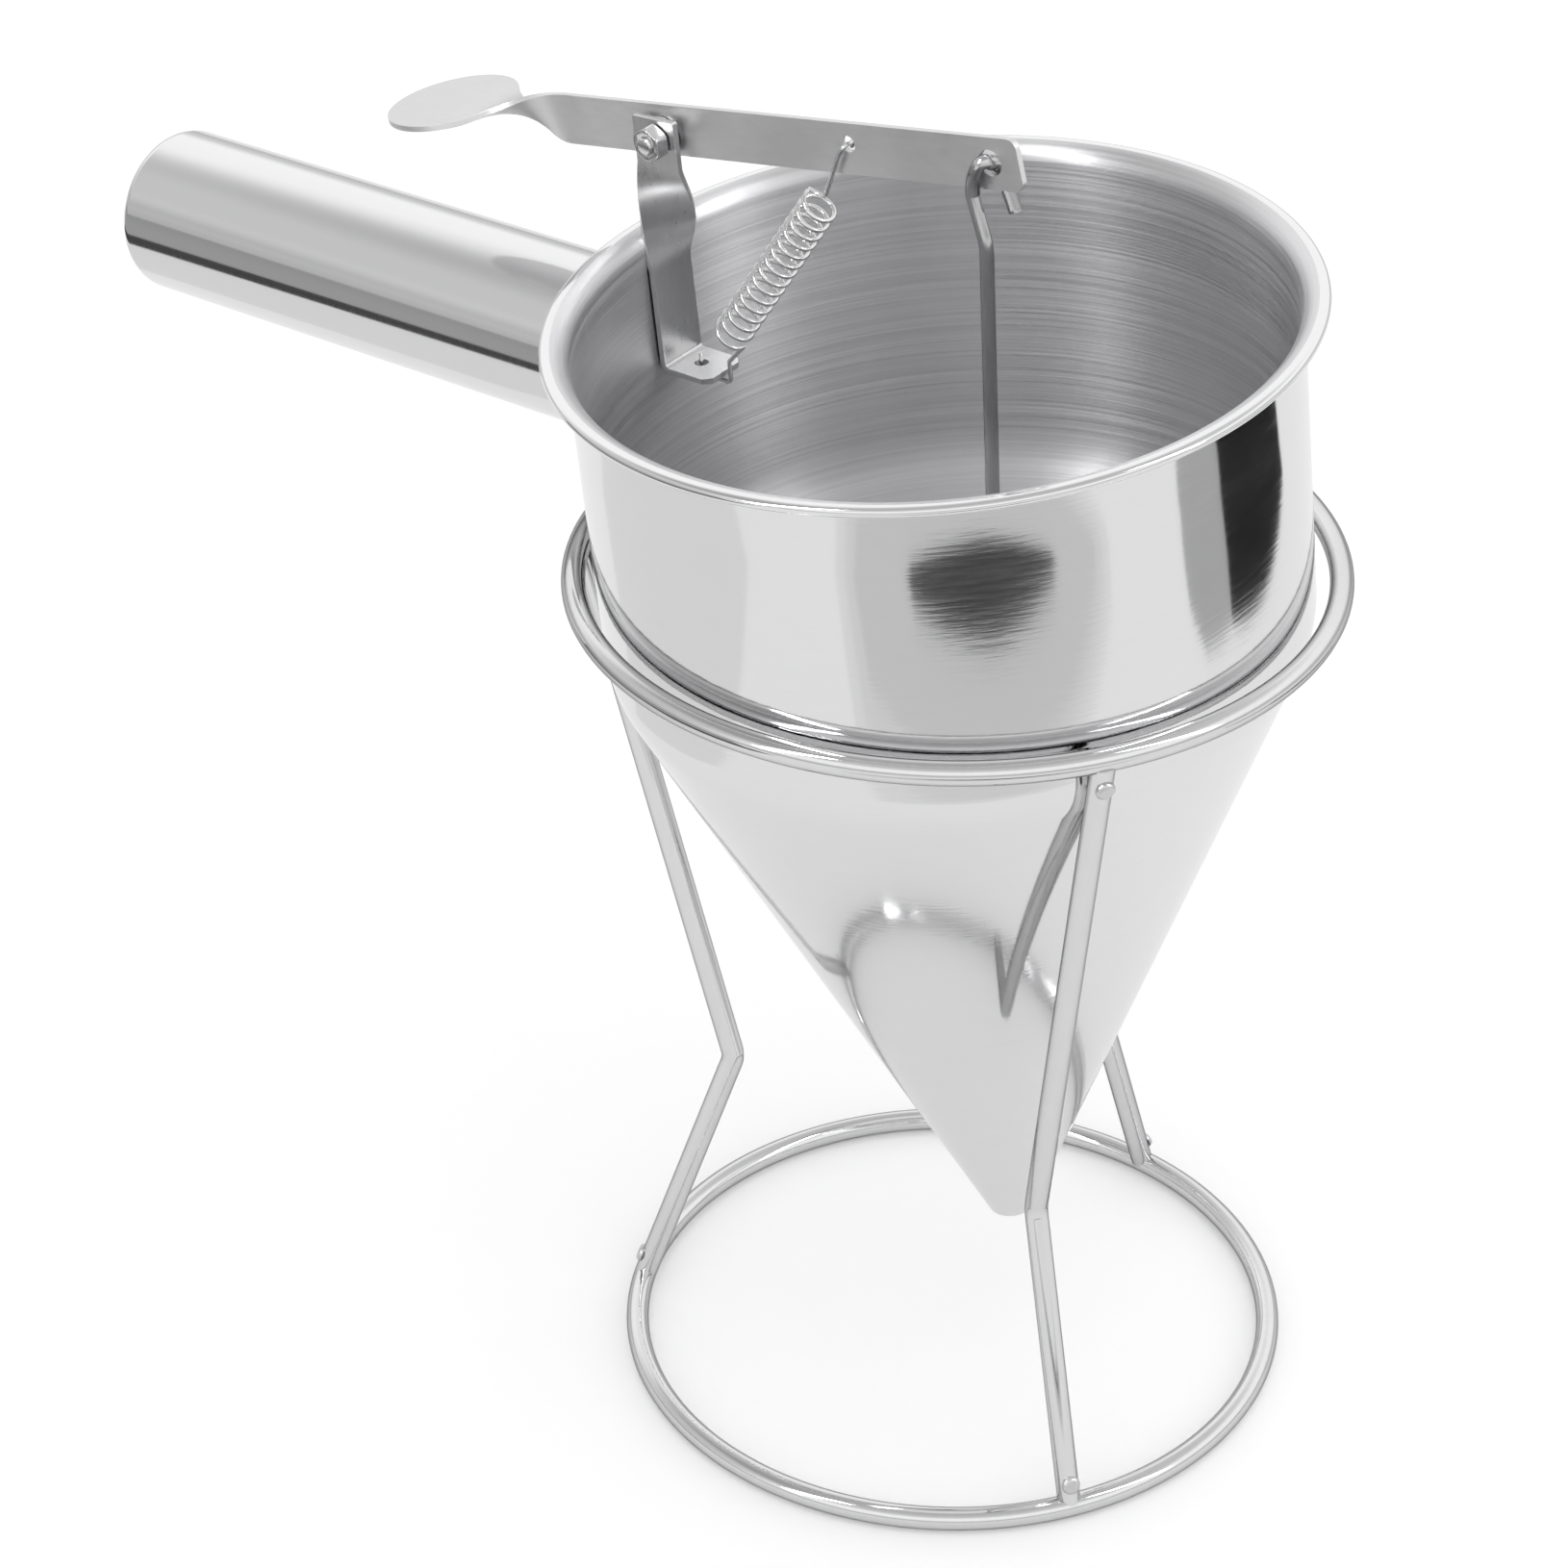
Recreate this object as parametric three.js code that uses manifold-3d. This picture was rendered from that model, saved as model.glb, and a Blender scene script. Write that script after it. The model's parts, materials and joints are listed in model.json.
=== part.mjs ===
// Funnel with stand: a conical steel funnel with a tube handle and a thumb lever.
// The lever lifts a rod with a stopper out of the nozzle, and a spring pulls it shut.
// The funnel stands loosely in a wire stand of two rings and three kinked legs.
// Millimetres, Z up. The handle points along -X. The origin is the bottom centre of the whole part.
import * as THREE from 'three';
import { mergeVertices } from 'three/addons/utils/BufferGeometryUtils.js';
import Module from 'manifold-3d';

const wasm = await Module();
wasm.setup();

const degrees = Math.PI / 180;

// Clearances shared by all pieces
const touchGap = 0.3; // between pieces that are welded, screwed or seated together
const runningGap = 0.3; // between pieces that turn on each other
const cutOverrun = 2; // how far a cutting tool runs past what it cuts

// Wire stand
const standHeight = 204.1; // floor to the top of the upper ring
const wireRadius = 2.57;
const ringPlay = 2.8; // free space all round between the bowl and the upper ring
const baseRingRadius = 73.3;
const kinkRadius = 50.5; // the legs come closest to the stand's axis at their kink
const kinkHeight = 68.7;
const kinkBendRadius = 7;
const legTopOutset = 0.65; // the legs' ends sit this far outside the ring's middle line
const weldRadius = 1.9; // low round nuggets where the legs meet the rings
const weldHeight = 0.9;
const weldSetback = 2.6; // from a leg's end to its nugget's centre
const legAzimuths = [-30 * degrees, 90 * degrees, 210 * degrees];
const legNames = ['front', 'right', 'left'];

// Funnel shell
const bowlRadius = 75.2; // outside
const bowlDepth = 73.35; // lip to where the lines of bowl and cone meet
const sheet = 0.8; // sheet thickness of bowl and cone
const shoulderRadius = 22.5; // outside rounding between bowl and cone
const coneHalfAngle = 24 * degrees;
const nozzleRadius = 5.1; // outside, at the tip
const lipReach = 5.3; // how far the rolled lip stands out from the bowl
const lipThickness = 2.2;
const lipFlareRadius = 2.6; // rounding from the inner wall into the lip
const lipFilletRadius = 1.3; // rounding from the lip's underside into the outer wall
const leanAcross = 3.7 * degrees; // the funnel hangs a little crooked in its ring
const leanToHandle = 2.99 * degrees;
const sitShiftX = -2.8; // of the lip's centre from the stand's axis
const sitShiftY = -4.8;

// Handle
const handleRadius = 19;
const handleWall = 0.9;
const handleReach = 234.6; // far end from the funnel's axis
const handleDrop = 32.15; // axis of the handle below the lip
const handleDroop = 0.74 * degrees;
const capEdgeRadius = 3;
const capDepth = 4.6;
const beadRadius = 0.8; // weld bead around the root of the handle

// Bracket: a strap welded inside the bowl, twisted a quarter turn above the lip
const strapWidth = 11.8;
const strapThickness = 1.4;
const footDepth = 30.7; // middle of the foot's plate below the lip
const footLength = 12.8; // from the strap's middle to the foot's tip
const footBendRadius = 1.6; // of the middle of the plate
const footCornerCut = 1.9;
const footHoleRadius = 1.5;
const footHoleInset = 6.9; // from the foot's tip
const twistStart = -6; // heights over the lip between which the strap twists
const twistEnd = 13;
const twistLeanIn = 2; // the strap leans this far inwards to clear the lip while it twists
const plateTop = 26.4; // top edge of the strap over the lip
const plateCorner = 0.9;
const plateInset = 1.8; // from the bowl's inner wall to the middle of the strap's upper plate

// Pivot screw, size M4
const pivotInset = 2.5; // from the bowl's inner wall
const pivotZ = 21.8;
const boltRadius = 1.95;
const boltEndLength = 0.8; // of the shank beyond the nut
const hexAcrossFlats = 7;
const nutHeight = 3.2;
const headHeight = 2.8;
const washerRadius = 4.4;
const washerThickness = 0.6;

// Thumb lever, in a frame of its own: x along the strip away from the handle, from the pivot
const leverRise = 8.8 * degrees;
const leverHeight = 11.3;
const leverThickness = 1.3;
const leverMiddle = 1.25; // the strip's middle line above the pivot
const leverEnd = 97.6;
const leverEndCorner = 2.4;
const leverTwistStart = -28.5;
const tabCentre = -61.8;
const tabRadius = 14.7;
const tabLift = 2; // the tab lies this far above the strip's middle line
const neckWidth = 10.2;
const springHoleX = 52.5;
const springHoleZ = 2.3;
const springHoleRadius = 1.8;
const rodHoleX = 93.2;
const rodHoleZ = 0;
const rodHolePlay = 1.1; // loose all round, so that the hook can swing

// Return spring
const coilRadius = 3.75; // to the middle of the wire
const springWireRadius = 0.5;
const coilTurns = 14;
const coilTopReach = 44.5; // the coil's upper end on its axis, from the pivot
const coilTopDrop = 3.6;
const coilFootInset = 17; // the lower end, from the bowl's inner wall
const coilFootRise = 10.1; // over the middle of the bracket's foot
const springTail = 2.4;

// Valve rod and stopper
const rodRadius = 1.45;
const rodKneeSetback = 4.2; // the rod's lower knee, from the hole in the lever towards the handle
const rodKneeDrop = 16.56; // and below the hole
const rodThroatSetback = 6.7; // the upper knee, below the hook
const rodThroatDrop = 6.06;
const hookRise = 3; // top of the hook above the hole in the lever
const hookTail = 10.5; // length of the rod's end that hangs behind the lever
const plugHeight = 7.5;
const plugLift = 0.6; // from the nozzle's mouth to the stopper's underside
const plugBoreDepth = 5;

// Facets
const roundSegments = 72;
const tubeSegments = 48;
const smallSegments = 20;
const wireSides = 8;
const thinWireSides = 6;
const bendSteps = 5;
const arcSteps = 4;

// Finishes
function steel(color, roughness) {
  return new THREE.MeshStandardMaterial({ color, roughness, metalness: 1 });
}
const polishedSteel = steel(0xd9dadb, 0.12);
const brushedSteel = steel(0xc4c6c8, 0.34);
const wireSteel = steel(0xd2d4d6, 0.2);
const stripSteel = steel(0xbcbec0, 0.4);
const stopperRubber = new THREE.MeshStandardMaterial({ color: 0x2b2c2e, roughness: 0.7, metalness: 0 });

// Sizes that follow from the driving ones
const wireCorner = wireRadius / Math.cos(Math.PI / wireSides); // the rings' section has flat sides
const ringRadius = bowlRadius + ringPlay + wireRadius;
const ringHeight = standHeight - wireRadius;
const shoulderTop = bowlDepth - shoulderRadius * Math.tan(coneHalfAngle / 2);
const shoulderCentre = bowlRadius - shoulderRadius;
const shoulderEnd = shoulderTop + shoulderRadius * Math.sin(coneHalfAngle);
const shoulderEndRadius = shoulderCentre + shoulderRadius * Math.cos(coneHalfAngle);
const tipDepth = shoulderEnd + (shoulderEndRadius - nozzleRadius) / Math.tan(coneHalfAngle);
const sheetAcross = sheet / Math.cos(coneHalfAngle);
const innerRadius = bowlRadius - sheet;
const plateX = -(innerRadius - plateInset);
const pivotX = -(innerRadius - pivotInset);
const boltHoleRadius = boltRadius + runningGap;
const rodHoleRadius = rodRadius + rodHolePlay;

function mesh(name, geometry, material) {
  const piece = new THREE.Mesh(geometry, material);
  piece.name = name;
  return piece;
}

// A turned shape from [radius, height] points, around Z
function turned(profile, segments) {
  const points = profile.map(([radius, height]) => new THREE.Vector2(radius, height));
  return new THREE.LatheGeometry(points, segments).rotateX(Math.PI / 2);
}

// Points of an arc around a centre, for a turned profile
function arc([centreRadius, centreHeight], radius, from, to) {
  const points = [];
  for (let step = 0; step <= arcSteps; step += 1) {
    const angle = from + ((to - from) * step) / arcSteps;
    points.push([centreRadius + radius * Math.cos(angle), centreHeight + radius * Math.sin(angle)]);
  }
  return points;
}

// A solid cylinder along Z, or along Y
function rodAlongZ(radius, length, segments) {
  return new THREE.CylinderGeometry(radius, radius, length, segments).rotateX(Math.PI / 2);
}
function rodAlongY(radius, length, segments) {
  return new THREE.CylinderGeometry(radius, radius, length, segments);
}

function solidOf(geometry) {
  const bare = geometry.clone();
  bare.deleteAttribute('normal');
  bare.deleteAttribute('uv');
  const merged = mergeVertices(bare);
  const corners = merged.index.array;
  const kept = [];
  for (let i = 0; i < corners.length; i += 3) {
    const [a, b, c] = [corners[i], corners[i + 1], corners[i + 2]];
    if (a !== b && b !== c && c !== a) kept.push(a, b, c);
  }
  return new wasm.Manifold(new wasm.Mesh({
    numProp: 3,
    vertProperties: merged.attributes.position.array,
    triVerts: Uint32Array.from(kept),
  }));
}

function geometryOf(solid) {
  const { vertProperties, triVerts } = solid.getMesh();
  const geometry = new THREE.BufferGeometry();
  geometry.setAttribute('position', new THREE.BufferAttribute(vertProperties, 3));
  geometry.setIndex(new THREE.BufferAttribute(triVerts, 1));
  geometry.computeVertexNormals();
  return geometry;
}

function cut(geometry, ...tools) {
  return geometryOf(tools.reduce((left, tool) => left.subtract(solidOf(tool)), solidOf(geometry)));
}

function joined(first, ...others) {
  return geometryOf(others.reduce((left, other) => left.add(solidOf(other)), solidOf(first)));
}

// A curve that passes through a list of points and is stepped from point to point
class StationCurve extends THREE.Curve {
  constructor(points) {
    super();
    this.points = points;
  }

  indexAt(t) {
    return Math.round(t * (this.points.length - 1));
  }

  getPoint(t) {
    return this.points[this.indexAt(t)].clone();
  }

  getPointAt(u) {
    return this.getPoint(u);
  }

  getTangentAt(u) {
    const index = this.indexAt(u);
    const here = this.points[index];
    const sum = new THREE.Vector3();
    if (index > 0) sum.add(here.clone().sub(this.points[index - 1]).normalize());
    if (index < this.points.length - 1) sum.add(this.points[index + 1].clone().sub(here).normalize());
    return sum.normalize();
  }
}

// A round wire along a list of points
function wire(points, radius, sides) {
  const section = new THREE.Shape();
  for (let side = 0; side < sides; side += 1) {
    const angle = ((side + 0.5) * 2 * Math.PI) / sides;
    const corner = [radius * Math.cos(angle), radius * Math.sin(angle)];
    if (side === 0) section.moveTo(...corner);
    else section.lineTo(...corner);
  }
  section.closePath();
  const path = new StationCurve(points);
  return new THREE.ExtrudeGeometry(section, { steps: points.length - 1, extrudePath: path, bevelEnabled: false });
}

// The corners of a path with a round bend at each inner one
function rounded(corners, bendRadius) {
  const points = [corners[0]];
  for (let i = 1; i < corners.length - 1; i += 1) {
    const into = corners[i].clone().sub(corners[i - 1]).normalize();
    const out = corners[i + 1].clone().sub(corners[i]).normalize();
    const turn = into.angleTo(out);
    const start = corners[i].clone().addScaledVector(into, -bendRadius * Math.tan(turn / 2));
    const inward = out.clone().sub(into).normalize();
    const centre = corners[i].clone().addScaledVector(inward, bendRadius / Math.cos(turn / 2));
    const axis = into.clone().cross(out).normalize();
    for (let step = 0; step <= bendSteps; step += 1) {
      const spoke = start.clone().sub(centre).applyAxisAngle(axis, (turn * step) / bendSteps);
      points.push(spoke.add(centre));
    }
  }
  points.push(corners[corners.length - 1]);
  return points;
}

// A flat strip through stations, each with its middle, its direction across and its face normal
function strip(stations, thickness) {
  const geometry = new THREE.BoxGeometry(1, 1, 1, 2, 1, stations.length - 1);
  const corner = geometry.attributes.position;
  for (let i = 0; i < corner.count; i += 1) {
    const station = stations[Math.round((corner.getZ(i) + 0.5) * (stations.length - 1))];
    const place = station.at.clone()
      .addScaledVector(station.across, corner.getX(i) * station.width)
      .addScaledVector(station.face, corner.getY(i) * thickness);
    corner.setXYZ(i, place.x, place.y, place.z);
  }
  return geometry;
}

function smooth(share) {
  return share * share * (3 - 2 * share);
}

// The stand

function standRing(radius, height) {
  const section = [];
  for (let side = 0; side <= wireSides; side += 1) {
    const angle = ((side - 0.5) * 2 * Math.PI) / wireSides;
    section.push([radius + wireCorner * Math.cos(angle), height + wireCorner * Math.sin(angle)]);
  }
  return turned(section, roundSegments);
}

// The three corners of a leg, in the upright plane through the stand's axis at its azimuth
function legCorners(azimuth) {
  const out = new THREE.Vector3(Math.cos(azimuth), Math.sin(azimuth), 0);
  const up = new THREE.Vector3(0, 0, 1);
  const place = (radius, height) => out.clone().multiplyScalar(radius).addScaledVector(up, height);
  const kink = place(kinkRadius, kinkHeight);
  const inset = wireCorner + touchGap;
  const top = place(ringRadius + legTopOutset, ringHeight);
  const foot = place(baseRingRadius, wireRadius);
  top.addScaledVector(top.clone().sub(kink).normalize(), -inset);
  foot.addScaledVector(foot.clone().sub(kink).normalize(), -inset);
  return { top, kink, foot, out };
}

// A low round nugget on the outside of a leg, near one of its ends
function legWeld(end, kink, out) {
  const along = end.clone().sub(kink).normalize();
  const outward = out.clone().addScaledVector(along, -out.dot(along)).normalize();
  const profile = [[0, 0], ...arc([weldRadius - weldHeight, 0], weldHeight, 0, Math.PI / 2), [0, weldHeight]];
  const nugget = turned(profile, smallSegments);
  const turn = new THREE.Quaternion().setFromUnitVectors(new THREE.Vector3(0, 0, 1), outward);
  const place = end.clone().addScaledVector(along, -weldSetback).addScaledVector(outward, wireRadius + touchGap);
  return nugget.applyQuaternion(turn).translate(place.x, place.y, place.z);
}

function makeStand() {
  const stand = new THREE.Group();
  stand.add(mesh('stand_top_ring', standRing(ringRadius, ringHeight), wireSteel));
  stand.add(mesh('stand_base_ring', standRing(baseRingRadius, wireRadius), wireSteel));
  legAzimuths.forEach((azimuth, index) => {
    const { top, kink, foot, out } = legCorners(azimuth);
    const name = legNames[index];
    const bent = wire(rounded([foot, kink, top], kinkBendRadius), wireRadius, wireSides);
    stand.add(mesh(`stand_leg_${name}`, bent, wireSteel));
    stand.add(mesh(`top_weld_${name}`, legWeld(top, kink, out), wireSteel));
    stand.add(mesh(`foot_weld_${name}`, legWeld(foot, kink, out), wireSteel));
  });
  return stand;
}

// The funnel is lowered until its shoulder is one gap away from the nearest leg
function seatHeight() {
  const lean = new THREE.Euler(leanAcross, -leanToHandle, 0, 'YXZ');
  const upright = new THREE.Quaternion().setFromEuler(lean).invert();
  const samples = 60;
  const clearance = (height) => {
    const lip = new THREE.Vector3(sitShiftX, sitShiftY, height);
    let least = Infinity;
    for (const azimuth of legAzimuths) {
      const { top, kink } = legCorners(azimuth);
      for (let step = 0; step <= samples; step += 1) {
        const point = kink.clone().lerp(top, step / samples).sub(lip).applyQuaternion(upright);
        const aside = Math.hypot(point.x, point.y) - shoulderCentre;
        least = Math.min(least, Math.hypot(aside, point.z + shoulderTop));
      }
    }
    return least - shoulderRadius - wireRadius - touchGap;
  };
  let low = ringHeight;
  let high = ringHeight + 2 * bowlDepth;
  for (let round = 0; round < samples; round += 1) {
    const middle = (low + high) / 2;
    if (clearance(middle) < 0) low = middle;
    else high = middle;
  }
  return high;
}

// The funnel's shell, in the funnel's own frame: Z up its axis, the origin in the lip's middle

function bowlGeometry() {
  const half = lipThickness / 2;
  const lipCentre = bowlRadius + lipReach - half;
  const bottom = -(shoulderTop - touchGap / 2);
  const profile = [
    [bowlRadius, bottom],
    ...arc([bowlRadius + lipFilletRadius, -half - lipFilletRadius], lipFilletRadius, Math.PI, Math.PI / 2),
    ...arc([lipCentre, 0], half, -Math.PI / 2, Math.PI / 2),
    ...arc([innerRadius + lipFlareRadius, half - lipFlareRadius], lipFlareRadius, Math.PI / 2, Math.PI),
    [innerRadius, bottom],
    [bowlRadius, bottom],
  ];
  return turned(profile, roundSegments);
}

function coneGeometry() {
  const top = -(shoulderTop + touchGap / 2);
  const centre = [shoulderCentre, -shoulderTop];
  const shoulder = arc(centre, shoulderRadius, -coneHalfAngle, 0).slice(0, -1);
  const lining = arc(centre, shoulderRadius - sheet, 0, -coneHalfAngle).slice(1);
  const profile = [
    [nozzleRadius, -tipDepth],
    ...shoulder,
    [bowlRadius, top],
    [innerRadius, top],
    ...lining,
    [nozzleRadius - sheetAcross, -tipDepth],
    [nozzleRadius, -tipDepth],
  ];
  return turned(profile, roundSegments);
}

// The handle's own frame has Z along its axis, away from the funnel
function handlePlacement() {
  const turn = new THREE.Matrix4().makeRotationY(-(Math.PI / 2 + handleDroop));
  return new THREE.Matrix4().makeTranslation(0, 0, -handleDrop).multiply(turn);
}

function handleTubeGeometry() {
  const end = handleReach - capDepth - touchGap;
  const start = bowlRadius / 2;
  const profile = [
    [handleRadius, start],
    [handleRadius, end],
    [handleRadius - handleWall, end],
    [handleRadius - handleWall, start],
    [handleRadius, start],
  ];
  const tube = turned(profile, tubeSegments).applyMatrix4(handlePlacement());
  const wallHeight = 2 * (handleDrop + handleRadius + cutOverrun);
  return cut(tube, rodAlongZ(bowlRadius + touchGap, wallHeight, roundSegments));
}

function handleCapGeometry() {
  const start = handleReach - capDepth;
  const edge = [handleRadius - capEdgeRadius, handleReach - capEdgeRadius];
  const profile = [
    [0, handleReach - handleWall],
    ...arc(edge, capEdgeRadius - handleWall, Math.PI / 2, 0),
    [handleRadius - handleWall, start],
    [handleRadius, start],
    ...arc(edge, capEdgeRadius, 0, Math.PI / 2),
    [0, handleReach],
  ];
  return turned(profile, tubeSegments).applyMatrix4(handlePlacement());
}

function handleBeadGeometry() {
  const stand = beadRadius + touchGap;
  const bead = new THREE.TorusGeometry(handleRadius + stand, beadRadius, thinWireSides, tubeSegments);
  bead.rotateY(Math.PI / 2);
  const corner = bead.attributes.position;
  for (let i = 0; i < corner.count; i += 1) {
    const outward = Math.sqrt((bowlRadius + stand) ** 2 - corner.getY(i) ** 2);
    const sag = handleDrop + outward * Math.tan(handleDroop);
    corner.setXYZ(i, corner.getX(i) - outward, corner.getY(i), corner.getZ(i) - sag);
  }
  return bead;
}

// The bracket's strap, from the tip of its foot up to its top edge
function bracketGeometry() {
  const sagitta = innerRadius - Math.sqrt(innerRadius ** 2 - (strapWidth / 2) ** 2);
  const wallX = -(innerRadius - sagitta - touchGap - strapThickness / 2);
  const acrossY = new THREE.Vector3(0, 1, 0);
  const stations = [];
  const add = (x, z, across, face, width) => {
    stations.push({ at: new THREE.Vector3(x, 0, z), across, face, width });
  };
  const down = new THREE.Vector3(0, 0, -1);
  const tipX = wallX + footLength;
  add(tipX, -footDepth, acrossY, down, strapWidth - 2 * footCornerCut);
  add(tipX - footCornerCut, -footDepth, acrossY, down, strapWidth);
  for (let step = 0; step <= bendSteps; step += 1) {
    const turn = ((Math.PI / 2) * step) / bendSteps;
    const face = new THREE.Vector3(-Math.sin(turn), 0, -Math.cos(turn));
    const x = wallX + footBendRadius * (1 - Math.sin(turn));
    const z = -footDepth + footBendRadius * (1 - Math.cos(turn));
    add(x, z, acrossY, face, strapWidth);
  }
  const twistSteps = 12;
  for (let step = 0; step <= twistSteps; step += 1) {
    const share = step / twistSteps;
    const turn = smooth(share) * (Math.PI / 2);
    const across = new THREE.Vector3(Math.sin(turn), Math.cos(turn), 0);
    const face = new THREE.Vector3(-Math.cos(turn), Math.sin(turn), 0);
    const x = wallX + (plateX - wallX) * share + twistLeanIn * Math.sin(Math.PI * share);
    add(x, twistStart + (twistEnd - twistStart) * share, across, face, strapWidth);
  }
  const acrossX = new THREE.Vector3(1, 0, 0);
  add(plateX, plateTop - plateCorner, acrossX, acrossY, strapWidth);
  add(plateX, plateTop, acrossX, acrossY, strapWidth - 2 * plateCorner);
  const footHole = rodAlongZ(footHoleRadius, strapThickness + cutOverrun, smallSegments);
  footHole.translate(tipX - footHoleInset, 0, -footDepth);
  const boltHole = rodAlongY(boltHoleRadius, strapThickness + cutOverrun, smallSegments);
  boltHole.translate(pivotX, 0, pivotZ);
  return { geometry: cut(strip(stations, strapThickness), footHole, boltHole), footTipX: tipX };
}

// What is stacked on the pivot screw, as distances behind the bracket's plate
const plateBack = strapThickness / 2;
const washerFront = plateBack + touchGap;
const leverFront = washerFront + washerThickness + runningGap;
const leverBack = leverFront + leverThickness;
const headFront = leverBack + runningGap;
const nutBack = -plateBack - touchGap;
const boltEnd = nutBack - nutHeight - boltEndLength;
const leverY = (leverFront + leverBack) / 2;

function hexagon(height) {
  return rodAlongY(hexAcrossFlats / 2 / Math.cos(30 * degrees), height, 6);
}

function boltGeometry() {
  const length = headFront - boltEnd;
  const shank = rodAlongY(boltRadius, length, smallSegments).translate(0, boltEnd + length / 2, 0);
  const sunk = headHeight / 2; // the shank starts inside the head
  const root = rodAlongY(boltRadius, sunk, smallSegments).translate(0, headFront + sunk / 2, 0);
  const head = hexagon(headHeight).translate(0, headFront + headHeight / 2, 0);
  return joined(head, root, shank).translate(pivotX, 0, pivotZ);
}

function nutGeometry() {
  const bore = rodAlongY(boltRadius + touchGap, nutHeight + cutOverrun, smallSegments);
  return cut(hexagon(nutHeight), bore).translate(pivotX, nutBack - nutHeight / 2, pivotZ);
}

function washerGeometry() {
  const bore = rodAlongY(boltHoleRadius, washerThickness + cutOverrun, smallSegments);
  const disc = rodAlongY(washerRadius, washerThickness, smallSegments);
  return cut(disc, bore).translate(pivotX, washerFront + washerThickness / 2, pivotZ);
}

// From the lever's frame, at the pivot along the strip, to the funnel's
function fromLever(x, y, z) {
  const place = new THREE.Vector3(x, y, z).applyAxisAngle(new THREE.Vector3(0, 1, 0), -leverRise);
  return place.add(new THREE.Vector3(pivotX, 0, pivotZ));
}

function leverGeometry() {
  const stations = [];
  const add = (x, y, z, turn, width) => {
    const across = new THREE.Vector3(0, -Math.sin(turn), Math.cos(turn));
    const face = new THREE.Vector3(0, Math.cos(turn), Math.sin(turn));
    stations.push({ at: new THREE.Vector3(x, y, z), across, face, width });
  };
  // The right end, with two round corners
  for (let step = 0; step <= arcSteps; step += 1) {
    const turn = ((Math.PI / 2) * step) / arcSteps;
    const x = leverEnd - leverEndCorner * (1 - Math.cos(turn));
    add(x, leverY, leverMiddle, 0, leverHeight - 2 * leverEndCorner * (1 - Math.sin(turn)));
  }
  // The quarter twist, narrowing to the neck
  const neckShare = 0.86; // the outline joins the round tab where it is this share of its radius away
  const neckX = tabCentre + tabRadius * neckShare;
  const twistSteps = 10;
  for (let step = 0; step <= twistSteps; step += 1) {
    const share = step / twistSteps;
    const eased = smooth(share);
    const x = leverTwistStart + (neckX - leverTwistStart) * share;
    const width = leverHeight + (neckWidth - leverHeight) * eased;
    add(x, leverY * (1 - eased), leverMiddle + tabLift * eased, (eased * Math.PI) / 2, width);
  }
  // The round tab
  const tabSteps = 12;
  const neckAngle = Math.acos(neckShare);
  for (let step = 1; step <= tabSteps; step += 1) {
    const angle = neckAngle + ((Math.PI - neckAngle) * step) / (tabSteps + 0.5);
    const width = Math.max(2 * tabRadius * Math.sin(angle), neckWidth);
    const end = step === tabSteps ? 2 * tabRadius * Math.sin(angle) : width;
    add(tabCentre + tabRadius * Math.cos(angle), 0, leverMiddle + tabLift, Math.PI / 2, end);
  }
  const depth = leverThickness + cutOverrun;
  const drill = (radius, x, z) => rodAlongY(radius, depth, smallSegments).translate(x, leverY, z);
  const drilled = cut(
    strip(stations, leverThickness),
    drill(boltHoleRadius, 0, 0),
    drill(springHoleRadius, springHoleX, springHoleZ),
    drill(rodHoleRadius, rodHoleX, rodHoleZ),
  );
  return drilled.rotateY(-leverRise).translate(pivotX, 0, pivotZ);
}

// The spring: a hook through the foot of the bracket, the open coil, a hook through the lever
function springGeometry(footTipX) {
  const top = new THREE.Vector3(pivotX + coilTopReach, 0, pivotZ - coilTopDrop);
  const foot = new THREE.Vector3(-(innerRadius - coilFootInset), 0, coilFootRise - footDepth);
  const along = top.clone().sub(foot).normalize();
  const side = new THREE.Vector3(0, -1, 0);
  const across = along.clone().cross(side).normalize();
  const stepsPerTurn = 10;
  const steps = coilTurns * stepsPerTurn;
  const coil = [];
  for (let step = 0; step <= steps; step += 1) {
    const angle = (2 * Math.PI * step) / stepsPerTurn;
    const middle = foot.clone().lerp(top, step / steps);
    const spoke = across.clone().multiplyScalar(Math.cos(angle)).addScaledVector(side, Math.sin(angle));
    coil.push(middle.addScaledVector(spoke, coilRadius));
  }
  const clear = springWireRadius + touchGap;
  const under = -footDepth - strapThickness / 2 - clear - springWireRadius;
  const over = -footDepth + strapThickness / 2 + springTail;
  const beside = footTipX + clear + springWireRadius;
  const holeX = footTipX - footHoleInset;
  const footHook = [
    new THREE.Vector3(holeX, 0, over),
    new THREE.Vector3(holeX, 0, under),
    new THREE.Vector3(beside, 0, under),
    new THREE.Vector3(beside, 0, over),
    coil[0],
  ];
  const hole = fromLever(springHoleX, leverY, springHoleZ);
  const inFront = leverFront - clear - springWireRadius;
  const behind = leverBack + clear + springWireRadius;
  const leverHook = [
    coil[steps],
    top.clone().addScaledVector(along, coilRadius),
    new THREE.Vector3(hole.x, inFront, hole.z).addScaledVector(along, -coilRadius),
    new THREE.Vector3(hole.x, inFront, hole.z),
    new THREE.Vector3(hole.x, behind, hole.z),
    new THREE.Vector3(hole.x, behind, hole.z).addScaledVector(along, -springTail),
  ];
  const bend = 2 * springWireRadius;
  const points = [
    ...rounded(footHook, bend).slice(0, -1),
    ...coil,
    ...rounded(leverHook, bend).slice(1),
  ];
  return wire(points, springWireRadius, thinWireSides);
}

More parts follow.
